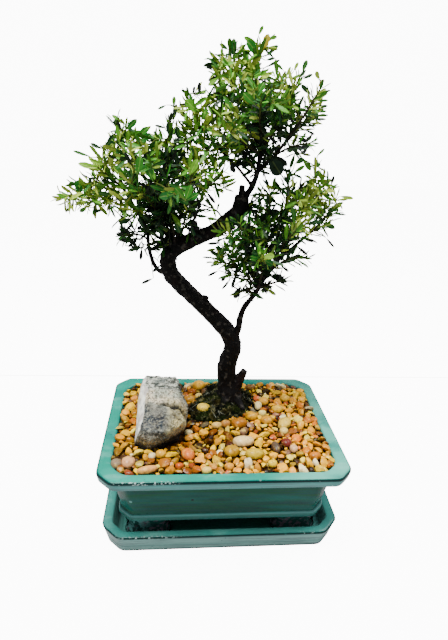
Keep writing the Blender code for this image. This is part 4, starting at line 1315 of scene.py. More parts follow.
# trunk centreline: x, y, z, radius
trunkLine = [
    (11, 30, 60, 10.5), (11, 30, 90, 12.8), (10, 30.2, 101, 11.6), (7.4, 30.8, 112, 9.4), (6.5, 31, 132, 9.1),
    (10.5, 30.5, 147, 8.3), (9.5, 30.5, 157, 8.2), (3, 31, 169, 8.0), (-17, 33, 189, 7.3), (-38, 36, 208, 7.2),
    (-51, 38, 223, 7.4), (-53, 38, 238, 7.2), (-43, 36, 248, 7.0), (-28, 35, 256, 6.3), (-14, 33, 263, 6.2),
    (-1, 32, 273, 6.8), (8, 31, 283, 6.6), (9, 30, 295, 6.0),
]

# dead stubs, surface roots and knobs of old cuts, in the same way
stubs = [
    [(14, 30, 103, 8.6), (18.5, 29.5, 112.5, 5.8), (21.8, 29, 119.5, 4.3), (24.2, 29, 125.3, 3.4)],
    [(9, 26, 100, 6.0), (4, 19, 93, 4.0), (-1, 12, 89, 2.4)],
    [(14, 26, 98, 6.0), (20, 18, 93, 3.6), (24, 13, 89, 2.2)],
    [(7, 32, 98, 5.5), (-3, 33, 94, 3.4), (-9, 33, 90, 2.0)],
    [(12, 34, 98, 6.0), (16, 44, 93, 4.0), (18, 52, 89, 2.2)],
    [(-22, 33, 190, 4.5), (-17.5, 33, 202, 3.0)],
    [(-37, 36, 206, 4.5), (-35, 36, 215, 2.6)],
    [(-29, 35, 256, 4.0), (-31, 35, 271, 2.8)],
    [(8, 30, 288, 2.8), (9, 30, 304, 2.4)],
]

# bearing limbs: x, y and z of points, how many of them are old wood, radius at the start
limbs = {
    "leftFar": ([(-54, 38, 222), (-61, 39, 223), (-67, 41, 231), (-71, 44, 245), (-72, 45, 258),
                 (-77, 45, 269), (-88, 47, 281), (-103, 48, 292), (-126, 49, 296), (-149, 49, 292)], 8, 2.2),
    "leftOuter": ([(-77, 45, 269), (-84, 38, 284), (-94, 28, 300), (-110, 24, 313), (-124, 21, 324)], 2, 1.4),
    "leftHigh": ([(-50, 37, 245), (-56, 39, 260), (-64, 41, 280), (-73, 41, 302), (-84, 41, 325),
                  (-91, 39, 340), (-96, 37, 355)], 4, 2.2),
    "leftMid": ([(-51, 39, 246), (-55, 43, 266), (-60, 47, 287), (-66, 54, 315), (-70, 60, 343)], 2, 1.9),
    "leftTall": ([(-49, 36, 248), (-52, 34, 275), (-56, 33, 302), (-54, 31, 338), (-50, 27, 371)], 2, 1.9),
    "leftInner": ([(-43, 36, 250), (-40, 39, 266), (-35, 41, 282), (-22, 39, 301), (-5, 37, 317)], 2, 1.8),
    "leftFore": ([(-46, 35, 249), (-44, 28, 272), (-41, 18, 296), (-32, 7, 316), (-21, -4, 332)], 2, 1.8),
    "leftLow": ([(-71, 44, 250), (-77, 38, 256), (-88, 29, 258), (-99, 20, 256)], 2, 1.2),
    "leftNear": ([(-50, 34, 246), (-56, 24, 266), (-66, 10, 288), (-76, -5, 299), (-83, -19, 305)], 2, 1.7),
    "leftFront": ([(-47, 33, 248), (-49, 24, 266), (-52, 11, 286), (-52, -6, 303), (-50, -23, 314)], 2, 1.7),
    "leftRear": ([(-50, 41, 246), (-55, 53, 263), (-62, 66, 281), (-72, 83, 294), (-82, 99, 301)], 2, 1.7),
    "leftBack": ([(-44, 40, 250), (-43, 52, 263), (-42, 64, 278), (-34, 78, 297), (-25, 90, 314)], 2, 1.7),
    "leftSprig": ([(-5, 32, 272), (-10, 30, 280), (-17, 29, 284), (-24, 28, 285)], 2, 0.9),
    "topMid": ([(8, 30.5, 287), (14, 30, 297), (20, 29, 311), (21.5, 29, 328), (19, 29, 350),
                (15, 30, 372), (13, 30, 397), (14, 30, 420)], 6, 3.0),
    "topLeft": ([(20, 29, 345), (11, 27, 357), (2, 26, 369), (-5, 26, 387), (-10, 25, 407)], 2, 1.5),
    "topRight": ([(21.5, 29, 325), (30, 28, 345), (38, 27, 363), (44, 24, 380), (50, 21, 399)], 2, 1.7),
    "topEdge": ([(21, 29, 316), (34, 27, 330), (44, 24, 345), (52, 20, 359), (59, 16, 374), (66, 12, 389)], 4, 1.7),
    "topSide": ([(33, 27.5, 329), (44, 34, 340), (55, 40, 351), (69, 44, 361), (83, 47, 366)], 2, 1.3),
    "topLow": ([(30, 27.5, 326), (38, 21, 333), (46, 13, 338), (57, 5, 341), (67, -2, 341)], 2, 1.3),
    "topRim": ([(20.5, 30, 337), (9, 35, 350), (-2, 40, 362), (-13, 42, 376), (-23, 44, 388)], 2, 1.5),
    "topFar": ([(17, 29.5, 304), (5, 31, 317), (-8, 32, 328), (-24, 34, 342), (-39, 36, 355),
                (-53, 38, 366)], 4, 1.4),
    "topInner": ([(21, 28, 330), (12, 22, 335), (3, 16, 339), (-10, 10, 343), (-24, 4, 347)], 2, 1.4),
    "topFront": ([(21, 28, 335), (19, 15, 345), (15, 2, 354), (12, -14, 364), (10, -30, 372)], 2, 1.5),
    "topRear": ([(21, 30, 337), (21, 45, 348), (20, 59, 361), (16, 71, 378), (11, 83, 396)], 2, 1.5),
    "topBack": ([(21.5, 30, 331), (30, 43, 344), (37, 55, 356), (49, 68, 370), (62, 80, 383)], 2, 1.5),
    "rightEdge": ([(9, 30.5, 158), (14.5, 30, 169), (15.5, 30, 180), (18, 30, 191), (24, 29, 201),
                   (30, 28, 211), (37, 27, 226), (49, 26, 244), (62, 25, 257), (74, 24, 269), (84, 22, 284),
                   (104, 20, 299)], 10, 3.5),
    "rightLeft": ([(30, 28, 212), (20, 27, 223), (10, 25, 233), (-6, 22, 238), (-22, 19, 239)], 2, 1.5),
    "rightMid": ([(31, 28, 214), (34, 26, 236), (34, 23, 259), (32, 20, 286), (31, 18, 312)], 2, 1.8),
    "rightTall": ([(33, 28, 220), (41, 31, 248), (48, 33, 276), (49, 34, 305), (48, 34, 334)], 2, 1.7),
    "rightHigh": ([(41, 27, 233), (52, 26, 254), (60, 25, 276), (64, 22, 302), (67, 19, 328)], 2, 1.6),
    "rightSide": ([(57, 25.5, 252), (67, 31, 260), (78, 37, 266), (90, 42, 270), (101, 45, 271)], 2, 1.3),
    "rightLow": ([(37, 27, 226), (44, 21, 237), (51, 13, 245), (61, 4, 249), (71, -5, 250)], 2, 1.3),
    "rightInner": ([(30, 29, 216), (27, 33, 234), (22, 37, 252), (13, 40, 269), (4, 43, 285)], 2, 1.5),
    "rightFront": ([(30, 26, 214), (29, 13, 230), (26, 0, 245), (20, -15, 259), (14, -28, 271)], 2, 1.5),
    "rightRear": ([(32, 30, 215), (37, 43, 228), (40, 56, 243), (39, 70, 262), (37, 83, 280)], 2, 1.5),
    "rightNear": ([(38, 27, 228), (41, 14, 246), (44, 0, 263), (48, -14, 275), (52, -27, 284)], 2, 1.5),
    "rightUnder": ([(32, 28, 213), (41, 26, 218), (50, 23, 222), (59, 20, 224)], 2, 1.1),
    "rightDrop": ([(27, 28.5, 207), (19, 27, 210), (11, 25, 209)], 2, 1.1),
}

wood = {
    "voxel": 0.8,
    "relax": (0.5, 2),      # strength and rounds
    "lumps": 0.9,           # height of the bark's swellings
    "furrows": 0.88,
    "chips": 0.22,
    "roughFrom": 7.0,       # radius from which the bark is fully rough
    "twigTip": 0.5,
    "youngExtra": 0.5,      # how much thicker young wood starts than it ends
}


def smoothLine(points, steps):
    # even curve through the points; a fourth number, the radius, is carried along
    line = []
    for i in range(len(points) - 1):
        before = Vector(points[max(i - 1, 0)])
        start = Vector(points[i])
        end = Vector(points[i + 1])
        after = Vector(points[min(i + 2, len(points) - 1)])
        for k in range(steps):
            t = k / steps
            line.append((start * 2 + (end - before) * t + (before * 2 - start * 5 + end * 4 - after) * t ** 2
                         + (start * 3 - before - end * 3 + after) * t ** 3) / 2)
    line.append(Vector(points[-1]))
    return [(point.to_3d(), point[3]) for point in line]


def limbRoute(points, old, radius):
    tip = wood["twigTip"]
    thin = tip + wood["youngExtra"]
    route = []
    for i, point in enumerate(points):
        if i < old:
            route.append((*point, radius + (thin - radius) * i / (old - 1)))
        else:
            share = (i - old + 1) / (len(points) - old)
            route.append((*point, thin + (tip - thin) * share))
    return route


def splitLimb(name, steps=3):
    # the old wood and the young shoot that goes on from it
    points, old, radius = limbs[name]
    line = smoothLine(limbRoute(points, old, radius), steps)
    seat = (old - 1) * steps
    return line[:seat + 1], line[seat:]


def alongLines(lines):
    # for each point: its place, the way the line runs there, how far along it is, and the radius
    samples = []
    for line in lines:
        travelled = 0.0
        for i, (point, radius) in enumerate(line):
            ahead = line[min(i + 1, len(line) - 1)][0]
            behind = line[max(i - 1, 0)][0]
            travelled += (point - behind).length if i else 0.0
            samples.append((point, (ahead - behind).normalized(), travelled, radius))
    return samples


def barkedTree(user, finish):
    oldLines = [smoothLine(trunkLine, 6)] + [smoothLine(stub, 3) for stub in stubs]
    oldLines += [splitLimb(name)[0] for name in limbs]
    tree = runTree("treeWood", lineCurve("woodLines", oldLines), followTree,
                   {"Sides": 14, "Thickness": mm, "Finish": finish})
    fuse(tree, user["voxel"], *user["relax"])
    mesh = tree.data
    samples = alongLines(oldLines)
    known = nearestOf([sample[0] for sample in samples])
    girths = []
    pushes = []
    for vertex in mesh.vertices:
        here = vertex.co / mm
        near = [samples[i] for _, i, _ in known.find_n(here, 4)]
        point, heading, travelled, radius = min(
            near, key=lambda sample: abs((here - sample[0]).length - sample[3]))
        lump = noise.noise(here * 0.11) * 0.7 + noise.noise(here * 0.24) * 0.5
        side = here - point
        flat = side - heading * side.dot(heading)
        furrow = noise.noise(flat * 0.75 + heading * travelled * 0.12 + Vector((0, 0, travelled * 0.02)))
        rough = user["lumps"] * lump + user["furrows"] * abs(furrow) + user["chips"] * noise.noise(here * 1.1)
        girths.append(radius)
        pushes.append(min(1.0, radius / user["roughFrom"]) * rough)
    pushOut(mesh, pushes)
    setValues(mesh, "girth", girths)
    dress(mesh, finish)
    onBody(tree, "bark", "tree_wood")


def barkFinish():
    bark = Finish("darkBark", (8, 7, 8), 0.75, {"Specular IOR Level": 0.14})
    girth = bark.attribute("girth")
    bark.mottle(90.0, 0.48, 0.64, (18, 16, 18), 0.7)
    bark.mottle(60.0, 0.56, 0.7, (32, 15, 14), 0.5)
    bark.mottle(260.0, 0.57, 0.66, (86, 82, 76), 0.45)
    bark.mottle(140.0, 0.6, 0.7, (4, 3, 5), 0.6)
    # thin wood is young and olive, the thinnest fresh and green
    bark.layer(bark.span(girth, 1.5, 0.7), (50, 48, 26), 0.85)
    bark.layer(bark.span(girth, 0.85, 0.55), (104, 120, 52), 0.8)
    bark.raiseBy(bark.mask(260.0, 0.2, 0.8, detail=6.0), 1.0)
    bark.raiseBy(bark.mask(900.0, 0.3, 0.7), 0.35)
    return bark.done(0.6, 0.0012)


barkPaint = barkFinish()
barkedTree(wood, barkPaint)
print("stage: trunk and limbs barked")


# leaves

crown = {
    "seed": 41,
    "leafLength": (10.4, 16.0),
    "leafScale": {"left": 1.03, "top": 0.99, "right": 1.0},
    "leafWidth": (0.52, 0.76),      # of the blade's own shape
    "middle": {"left": (-70, 290), "top": (15, 352), "right": (38, 258)},   # x, z that the leaves face away from
    "outward": 0.8,         # how much they face outwards rather than up
    "upward": 0.45,
    "splay": (1.25, 0.75),  # how far they stand out from a twig, and how much less at its tip
    "tipShare": (0.6, 0.35),        # share of a twig after which the leaves get smaller, and by how much
    "pairEvery": (2.1, 3.1),
    "keepApart": 1.1,
    "shoots": 3.3,          # for each one counted below
    # how much brighter the leaves of each mass are than the tones below, as painted light, less in the dark parts
    "lift": {"left": 0.04, "top": 0.1, "right": 0.09},
    "uneven": 0.25,         # spread of the leaves' tones
    "brightest": 0.87,
    "pale": 0.03,           # share of the leaves that catch the light, and their tones
    "paleTones": (0.8, 0.93),
    "kept": 0.8,            # share of each young shoot of the source that is followed
    "bare": 0.2,            # share of a further shoot that has no leaves
    "sway": 0.06,           # random turn of each leaf
    "twig": (0.85, 0.42),   # radius at the twig's start and tip
    "stem": 0.34,           # radius at the tip of a stem to a leaf that stands out
    "standout": (1.04, 0.3, 1.08),      # width is times the first plus the second, length times the third
    "plane": 30.0,          # y of the upright plane in which the crown was measured
}

# leafy groups as the camera sees them in that plane: x, z, half width, half height, shoots, tone from dark to
# bright (painted shade in the crown's inner groups, painted light on its outer ones), how far behind the plane,
# half depth
leafGroups = {
    "left": [
        (-133, 287, 9, 5, 4, 0.76, 10, 12), (-117, 286, 11, 6, 5, 0.66, 8, 14),
        (-100, 284, 10, 7, 3, 0.6, 4, 14), (-86, 287, 8, 7, 4, 0.5, 0, 18), (-73, 286, 8, 7, 3, 0.2, 0, 20),
        (-110, 300, 7, 5, 1, 0.6, 4, 12), (-98, 301, 8, 6, 1, 0.6, 0, 14), (-57, 250, 7, 6, 4, 0.05, 8, 14),
        (-72, 250, 6, 6, 2, 0.08, 8, 12), (-36, 266, 7, 6, 3, 0.12, 0, 14), (-94, 345, 5, 5, 1, 0.45, 0, 8),
        (-84, 342, 6, 5, 1, 0.5, 0, 8), (-124, 292, 6, 4, 1, 0.5, 10, 8), (-108, 315, 8, 7, 2, 0.74, 0, 16),
        (-99, 318, 11, 9, 5, 0.66, -8, 18), (-92, 327, 10, 8, 4, 0.5, 4, 20), (-88, 334, 7, 7, 2, 0.62, 0, 12),
        (-78, 330, 10, 9, 3, 0.56, 0, 22), (-65, 329, 9, 9, 3, 0.6, 4, 22),
        (-83, 313, 10, 12, 4, 0.52, -25, 18), (-70, 314, 11, 11, 4, 0.42, -30, 18),
        (-52, 316, 12, 11, 6, 0.08, 0, 30), (-59, 316, 7, 9, 3, 0.05, -26, 10),
        (-34, 316, 10, 9, 4, 0.7, -15, 20), (-22, 310, 9, 8, 3, 0.64, -10, 20),
        (-11, 306, 7, 7, 2, 0.6, 0, 14), (-13, 317, 8, 5, 2, 0.55, -4, 14), (-48, 318, 6, 5, 2, 0.1, 0, 16),
        (-62, 268, 6, 5, 2, 0.06, 0, 20), (-101, 296, 6, 4, 1, 0.6, 4, 12), (-78, 279, 8, 7, 3, 0.3, 0, 20),
        (-27, 303, 8, 6, 2, 0.5, 0, 14), (-66, 295, 10, 9, 8, 0.02, -4, 30),
        (-45, 294, 10, 7, 4, 0.55, -42, 12), (-80, 296, 11, 8, 4, 0.45, -18, 24),
        (-60, 279, 13, 9, 8, 0.04, 0, 30), (-36, 284, 10, 7, 3, 0.22, 0, 24),
        (-70, 264, 8, 8, 4, 0.08, 10, 28), (-54, 262, 9, 10, 5, 0.04, 12, 30),
        (-86, 256, 7, 7, 2, 0.12, 10, 12), (-88, 273, 7, 5, 1, 0.34, 0, 14), (-47, 340, 6, 7, 1, 0.22, 4, 10),
        (-47, 327, 8, 6, 2, 0.34, 12, 20), (-58, 304, 14, 10, 4, 0.2, 30, 24), (-58, 334, 7, 6, 2, 0.5, 0, 12),
        (-35, 300, 12, 9, 3, 0.3, 28, 24), (-93, 302, 8, 6, 2, 0.5, 10, 16),
    ],
    "top": [
        (-37, 358, 7, 6, 2, 0.64, -4, 8), (-30, 347, 9, 7, 2, 0.42, 0, 16), (-40, 339, 8, 6, 3, 0.45, 0, 14),
        (-20, 343, 9, 7, 4, 0.46, -6, 18), (24, 319, 6, 5, 2, 0.08, 4, 10), (-25, 331, 9, 6, 4, 0.5, -8, 16),
        (-10, 332, 8, 6, 3, 0.42, 0, 16), (-12, 325, 9, 5, 2, 0.45, 0, 14), (2, 326, 7, 5, 3, 0.3, 4, 14),
        (24, 333, 7, 6, 4, 0.07, 6, 16), (52, 333, 5, 4, 1, 0.1, 4, 8), (-3, 403, 5, 4, 1, 0.45, 0, 8),
        (9, 396, 6, 5, 1, 0.45, 0, 10), (-36, 371, 5, 3, 1, 0.3, 0, 6), (-24, 366, 6, 5, 1, 0.86, 0, 6),
        (16, 405, 6, 5, 1, 0.6, 0, 6), (-13, 392, 8, 5, 2, 0.45, 0, 12), (1, 393, 6, 5, 2, 0.5, -4, 12),
        (-15, 381, 7, 5, 2, 0.42, 0, 14), (-3, 382, 9, 8, 3, 0.58, -10, 20), (12, 386, 9, 7, 3, 0.5, 0, 20),
        (15, 375, 11, 7, 4, 0.46, -20, 20), (31, 382, 9, 7, 3, 0.52, 0, 20), (40, 386, 7, 6, 2, 0.66, 0, 14),
        (44, 369, 8, 6, 2, 0.44, -4, 18), (33, 369, 10, 8, 4, 0.54, -22, 20), (20, 364, 10, 8, 3, 0.1, 14, 28),
        (18, 361, 8, 7, 3, 0.05, -22, 12), (-9, 369, 9, 6, 3, 0.1, 6, 20), (6, 369, 8, 6, 3, 0.5, -22, 14),
        (-3, 357, 11, 7, 4, 0.66, -20, 20), (2, 347, 8, 7, 3, 0.74, -28, 14), (-12, 353, 8, 6, 3, 0.4, 4, 18),
        (20, 348, 11, 11, 7, 0.04, 6, 30), (38, 350, 11, 9, 5, 0.08, 6, 28), (54, 361, 8, 7, 3, 0.24, 4, 18),
        (65, 364, 6, 6, 2, 0.56, 0, 12), (42, 340, 6, 4, 1, 0.14, 4, 14), (12, 323, 5, 4, 1, 0.1, 0, 8),
        (-20, 364, 6, 5, 2, 0.5, 0, 12), (7, 344, 9, 6, 3, 0.3, 6, 18), (16, 320, 7, 5, 2, 0.08, 6, 12),
        (-8, 395, 7, 5, 2, 0.5, 0, 14), (53, 357, 6, 5, 2, 0.3, 0, 12), (33, 333, 7, 6, 3, 0.05, 6, 20),
        (8, 332, 5, 7, 4, 0.1, 6, 14), (1, 335, 7, 5, 3, 0.3, 4, 16), (10, 358, 14, 12, 4, 0.2, 40, 20),
        (34, 360, 14, 12, 4, 0.2, 40, 20),
    ],
    "right": [
        (51, 312, 3, 8, 1, 0.3, 0, 4), (70, 322, 4, 6, 1, 0.7, 0, 5), (74, 309, 8, 6, 3, 0.68, 0, 14),
        (86, 304, 5, 5, 1, 0.7, 0, 8), (78, 299, 8, 6, 3, 0.62, -6, 16), (93, 296, 4, 5, 1, 0.74, 0, 6),
        (60, 299, 9, 6, 4, 0.44, 6, 18), (52, 303, 5, 6, 2, 0.4, 0, 12), (42, 304, 4, 5, 1, 0.3, 0, 6),
        (22, 222, 6, 5, 3, 0.06, 0, 10), (34, 212, 6, 4, 4, 0.05, 0, 8), (22, 209, 6, 5, 4, 0.05, 0, 8),
        (9, 223, 5, 4, 1, 0.1, 0, 8), (8, 238, 6, 5, 3, 0.3, 0, 12), (-6, 248, 5, 4, 2, 0.3, 0, 8),
        (64, 290, 9, 7, 3, 0.68, -20, 14), (83, 285, 8, 6, 2, 0.45, 0, 16), (85, 275, 6, 5, 1, 0.42, 0, 12),
        (63, 273, 9, 6, 4, 0.7, -25, 14), (34, 297, 4, 8, 1, 0.3, 0, 5), (23, 295, 4, 8, 1, 0.34, 0, 5),
        (28, 284, 7, 5, 2, 0.36, 0, 14), (42, 281, 7, 5, 2, 0.18, 4, 16), (30, 272, 9, 6, 3, 0.34, -10, 18),
        (12, 269, 9, 6, 4, 0.2, -24, 10), (1, 263, 8, 5, 3, 0.3, -24, 10), (16, 256, 10, 7, 4, 0.2, -10, 20),
        (31, 257, 9, 7, 4, 0.25, -8, 24), (48, 260, 8, 7, 3, 0.14, 6, 24), (58, 265, 8, 6, 3, 0.3, 0, 20),
        (52, 255, 5, 4, 1, 0.1, 6, 12), (50, 282, 7, 5, 2, 0.3, 0, 14), (14, 283, 6, 6, 3, 0.08, 6, 10),
        (17, 230, 6, 5, 3, 0.06, 0, 10), (32, 217, 5, 4, 3, 0.05, 0, 8), (5, 247, 8, 6, 4, 0.34, -4, 14),
        (-4, 239, 7, 6, 3, 0.5, -4, 10), (21, 243, 8, 7, 4, 0.14, 0, 24), (34, 239, 7, 5, 3, 0.66, -40, 8),
        (28, 230, 8, 6, 5, 0.06, 4, 20), (42, 236, 5, 5, 1, 0.1, 4, 12), (40, 247, 8, 6, 3, 0.12, 10, 24),
        (29, 219, 7, 6, 4, 0.05, 0, 12), (1, 226, 6, 5, 1, 0.2, 0, 8), (16, 237, 6, 5, 3, 0.18, 0, 14),
        (72, 287, 9, 7, 2, 0.4, 22, 18), (45, 272, 14, 10, 4, 0.24, 34, 22), (24, 262, 12, 10, 3, 0.2, 34, 20),
    ],
}

# leaves that stand out: base x and z, tip x and z, width, tone (painted light and shade, and bronze new growth at
# the top), and how far behind the plane if not in it
standoutLeaves = {
    "left": [
        (-127, 290, -126, 301, 7.5, 0.46, 6), (-117, 290, -117.5, 303, 2.2, 0.15, 8),
        (-108, 304, -117, 303.5, 1.6, 0.12, 8), (-106, 310.5, -125.5, 314.5, 4.4, 0.72, -4),
        (-115.5, 320, -129, 324, 2.2, 0.4), (-106.5, 326.5, -115, 330.5, 2.6, 0.25),
        (-104.5, 327.5, -97, 338, 4.2, 0.28), (-90.5, 339.5, -96, 348.5, 4.6, 0.12),
        (-88, 341.5, -80, 350, 4.2, 0.45), (-79.5, 336, -71, 344.5, 4.6, 0.5, -4),
        (-76.5, 334.5, -68, 339.5, 4.8, 0.4, -6), (-48, 294, -60, 291.5, 5.4, 0.34, -52),
        (-39, 289, -35, 301, 4.8, 0.5, -54), (-39, 290, -47, 299, 4.6, 0.5, -52),
        (-38, 289, -29, 295, 4.4, 0.44, -50), (-30, 292, -26, 284, 4.2, 0.1), (-28.5, 283, -31, 275, 3.8, 0.1),
        (-21.5, 297, -14, 288.5, 2.6, 0.1), (-47, 271, -43, 262, 5.0, 0.3, -20),
        (-51.5, 338, -54, 349, 5.6, 0.2), (-46, 337, -47, 346, 4.6, 0.24), (-55.5, 345, -64, 347, 1.8, 0.2),
        (-89, 274, -94, 267, 5.0, 0.3), (-84, 272, -92, 268, 4.0, 0.25), (-80, 255, -87, 247, 2.6, 0.06, 4),
        (-82, 251, -95, 253, 2.4, 0.08, 4), (-84, 262, -96, 258, 2.4, 0.06, 4),
        (-76, 247, -77, 236, 2.6, 0.06, 4), (-106, 279, -116, 276, 2.6, 0.25, 4),
        (-132, 281, -139, 276, 2.0, 0.2, 8), (-121, 280, -127, 276, 3.4, 0.5, 6),
        (-79, 308, -76, 321, 5.4, 0.5, -44), (-66, 303, -72, 316, 5.4, 0.48, -44),
        (-36, 310, -31, 322, 5.2, 0.7, -34), (-59, 232, -66, 225, 2.6, 0.05, 6),
        (-66, 219, -76, 214, 2.4, 0.08, 6),
    ],
    "top": [
        (-50.5, 350, -47.5, 362, 3.4, 0.18), (-50, 361, -50, 368, 2.8, 0.6), (-30, 370, -30, 379, 2.8, 0.04),
        (-38, 370, -44, 373, 1.8, 0.2), (-35, 371, -34, 376, 1.8, 0.1), (-34, 365, -45, 362, 1.8, 0.15),
        (-55.5, 362, -62, 359, 1.6, 0.35), (-30, 358, -40, 366, 6.2, 0.66, -8),
        (-28, 352, -24, 361, 4.4, 0.55, -8), (-14.5, 384.5, -23, 382, 3.6, 0.12),
        (-18, 390, -25, 391, 2.4, 0.1), (-15, 394, -21.5, 395.5, 4.0, 0.3),
        (0.5, 391, 5.5, 400.5, 4.6, 0.5, -4), (-4.5, 397.5, -5, 410, 4.6, 0.36),
        (-9, 403, -15.5, 406.5, 2.6, 0.36), (17, 404, 20.5, 415, 4.8, 0.96), (17, 399.5, 5, 409, 6.0, 0.46),
        (13.5, 408, 3, 411.5, 3.2, 0.68), (19, 400, 28.5, 408, 2.4, 0.34), (20.5, 393, 30.5, 399, 1.9, 0.26),
        (20, 398, 27, 400, 1.8, 0.3), (13, 414, 15.5, 420.5, 2.4, 0.55), (21, 412, 27, 414.5, 2.2, 0.6),
        (10, 387, 6, 397, 3.6, 0.6, -4), (50, 392, 52.2, 400, 3.4, 0.38), (50.5, 387, 58, 390.5, 2.2, 0.25),
        (64, 387.5, 61.5, 393, 3.2, 0.84), (64, 382, 68, 387.5, 2.8, 1.0), (59.5, 376, 51, 382.5, 3.4, 0.3),
        (61, 375.5, 74, 380, 1.9, 0.25), (63.8, 372.2, 73, 373.5, 1.8, 0.4),
        (64.4, 368, 73.5, 369.2, 1.9, 0.3), (64, 364, 73, 365.5, 1.7, 0.45), (63.7, 361, 75, 362.6, 1.8, 0.4),
        (61.5, 358.8, 73.5, 359.6, 1.6, 0.3), (57, 350.5, 66, 348, 1.8, 0.2),
        (51.5, 344, 59.5, 341.5, 3.2, 0.05), (30, 328, 41.5, 315.5, 11.5, 0.16, -6),
        (36, 329, 45, 322, 4.4, 0.12), (-2, 322, 1, 314, 3.4, 0.06), (3, 321, 7, 326, 2.8, 0.1),
        (9, 330, 8, 318, 3.0, 0.08), (15, 366, 6, 374, 5.0, 0.5, -40), (14, 372, 20, 382, 4.8, 0.5, -40),
        (43, 392, 46, 398, 2.2, 0.78), (35, 392, 30, 396, 2.0, 0.5), (-20, 331, -31, 338, 4.6, 0.5, -10),
    ],
    "right": [
        (52, 323.5, 59, 328, 4.0, 0.38), (58, 328, 66, 319, 3.6, 0.64), (52, 316, 60.5, 321.5, 3.0, 0.58),
        (49, 316.5, 43, 318.5, 2.4, 0.2), (70, 326, 74, 323, 3.2, 0.5), (70, 330, 76, 336, 1.8, 0.6),
        (86, 307, 87, 315, 2.0, 0.03), (95, 298.5, 107, 297.5, 2.8, 0.8), (82, 275.5, 95, 270.5, 4.4, 0.44),
        (68, 259.5, 77.5, 258.5, 2.8, 0.05), (61, 254, 73, 245.5, 2.5, 0.08), (61.5, 252.5, 58, 246, 3.8, 0.1),
        (53.5, 246.5, 58, 239.5, 3.6, 0.05), (48, 236, 57, 229, 1.8, 0.12),
        (38, 225.5, 57, 218, 5.2, 0.06, -4), (42, 226, 52, 224, 3.4, 0.04),
        (35.5, 217, 39.5, 208.5, 4.6, 0.05), (14, 213.5, 9, 202, 5.6, 0.08), (3.5, 218, -3, 211, 1.9, 0.1),
        (0, 223.5, -4, 218.5, 3.0, 0.15), (-7, 228, -16, 222.5, 2.1, 0.1),
        (-11.5, 239.5, -21.5, 240, 1.5, 0.3), (-6, 241, -15, 245.5, 3.4, 0.2),
        (-6.5, 253.5, -17.5, 252.5, 2.3, 0.1), (-19, 276, -28, 276.5, 2.6, 0.3, -6),
        (-10, 274, -19, 275, 2.6, 0.66, -6), (-12, 275, -15, 283, 1.8, 0.7, -6),
        (32, 241.5, 42, 244, 4.8, 0.76, -48), (31, 240, 29, 251, 4.4, 0.6, -48),
        (34, 239, 42, 235, 4.6, 0.4, -46), (23, 290.5, 28.5, 295.5, 2.2, 0.12), (29, 277, 41, 284, 3.4, 0.1),
        (41, 284, 48, 277, 3.2, 0.1), (34, 296, 27, 302, 1.8, 0.25), (34, 302, 27, 309, 1.6, 0.25),
        (35, 297, 43, 299, 1.8, 0.3), (35, 302, 37, 311, 2.4, 0.6), (88, 262, 97, 254, 1.8, 0.12),
        (60, 302, 52, 297, 4.4, 0.15), (80, 308, 74, 318, 3.2, 0.7), (90, 290, 99, 293, 2.4, 0.3),
        (92, 283, 103, 283, 1.4, 0.35),
    ],
}


# spoon-shaped blade one unit long: how far along it, half its width there
bladeStations = [
    (0.0, 0.018), (0.09, 0.028), (0.25, 0.10), (0.48, 0.158), (0.74, 0.168), (0.92, 0.1), (1.0, 0.012),
]
bladeWidth = 0.344
# name, fold along the midrib, curl and twist towards the tip
bladeKinds = [("bladeA", 0.28, 0.10, 0.0), ("bladeB", 0.12, 0.20, 0.15), ("bladeC", 0.40, 0.02, -0.2)]


def bladeMesh(name, fold, curl, twist):
    points = []
    uvs = []
    for t, half in bladeStations:
        drop = -curl * t ** 2 + 0.02 * math.sin(t * 9)
        thick = 0.012 if 0 < t < 1 else 0.006
        turn = twist * t
        for x, z in ((-half, fold * half), (0, thick), (half, fold * half), (0, -thick)):
            points.append((x * math.cos(turn) - z * math.sin(turn), t,
                           drop + x * math.sin(turn) + z * math.cos(turn)))
            uvs.append((x / 0.18 * 0.5 + 0.5, t))
    faces = []
    under = []
    for k in range(len(bladeStations) - 1):
        for side in range(4):
            low = k * 4 + side
            high = k * 4 + (side + 1) % 4
            faces.append((low, high, high + 4, low + 4))
            under.append(1.0 if side >= 2 else 0.0)
    last = len(points) - 4
    faces += [(3, 2, 1, 0), (last, last + 1, last + 2, last + 3)]
    under += [0.0, 0.0]
    mesh = meshFrom(name, points, faces)
    shape = bmesh.new()
    shape.from_mesh(mesh)
    bmesh.ops.recalc_face_normals(shape, faces=shape.faces)
    shape.to_mesh(mesh)
    shape.free()
    layer = mesh.uv_layers.new(name="blade")
    for loop in mesh.loops:
        layer.data[loop.index].uv = uvs[loop.vertex_index]
    setValues(mesh, "under", under, domain="FACE")
    smoothBy(mesh, 60)
    return mesh


def seenAt(x, z, behind):
    # the point that far behind the measuring plane, on the camera's line through x and z in it
    point = Vector((x, crown["plane"], z))
    return point + (point - Vector(viewOfPhoto["place"]) / mm).normalized() * behind


def ontoPlane(point):
    # where the camera sees a point in the measuring plane, and how far behind it the point is
    eye = Vector(viewOfPhoto["place"]) / mm
    seen = eye + (point - eye) * (crown["plane"] - eye.y) / (point.y - eye.y)
    return seen.x, seen.z, (point - seen).length * (1 if point.y > crown["plane"] else -1)


def toneAt(mass, point):
    # the groups' tones of painted light and shade, weighted by how near they are, and darker towards the back as
    # painted shade
    x, z, behind = ontoPlane(point)
    total = 0.0
    share = 0.0
    for groupX, groupZ, halfX, halfZ, _, tone, _, _ in leafGroups[mass]:
        away = ((x - groupX) / halfX) ** 2 + ((z - groupZ) / halfZ) ** 2
        weight = 1 / (away + 0.25) ** 2
        total += weight
        share += weight * tone
    return share / total - 0.004 * max(0.0, behind - 10)


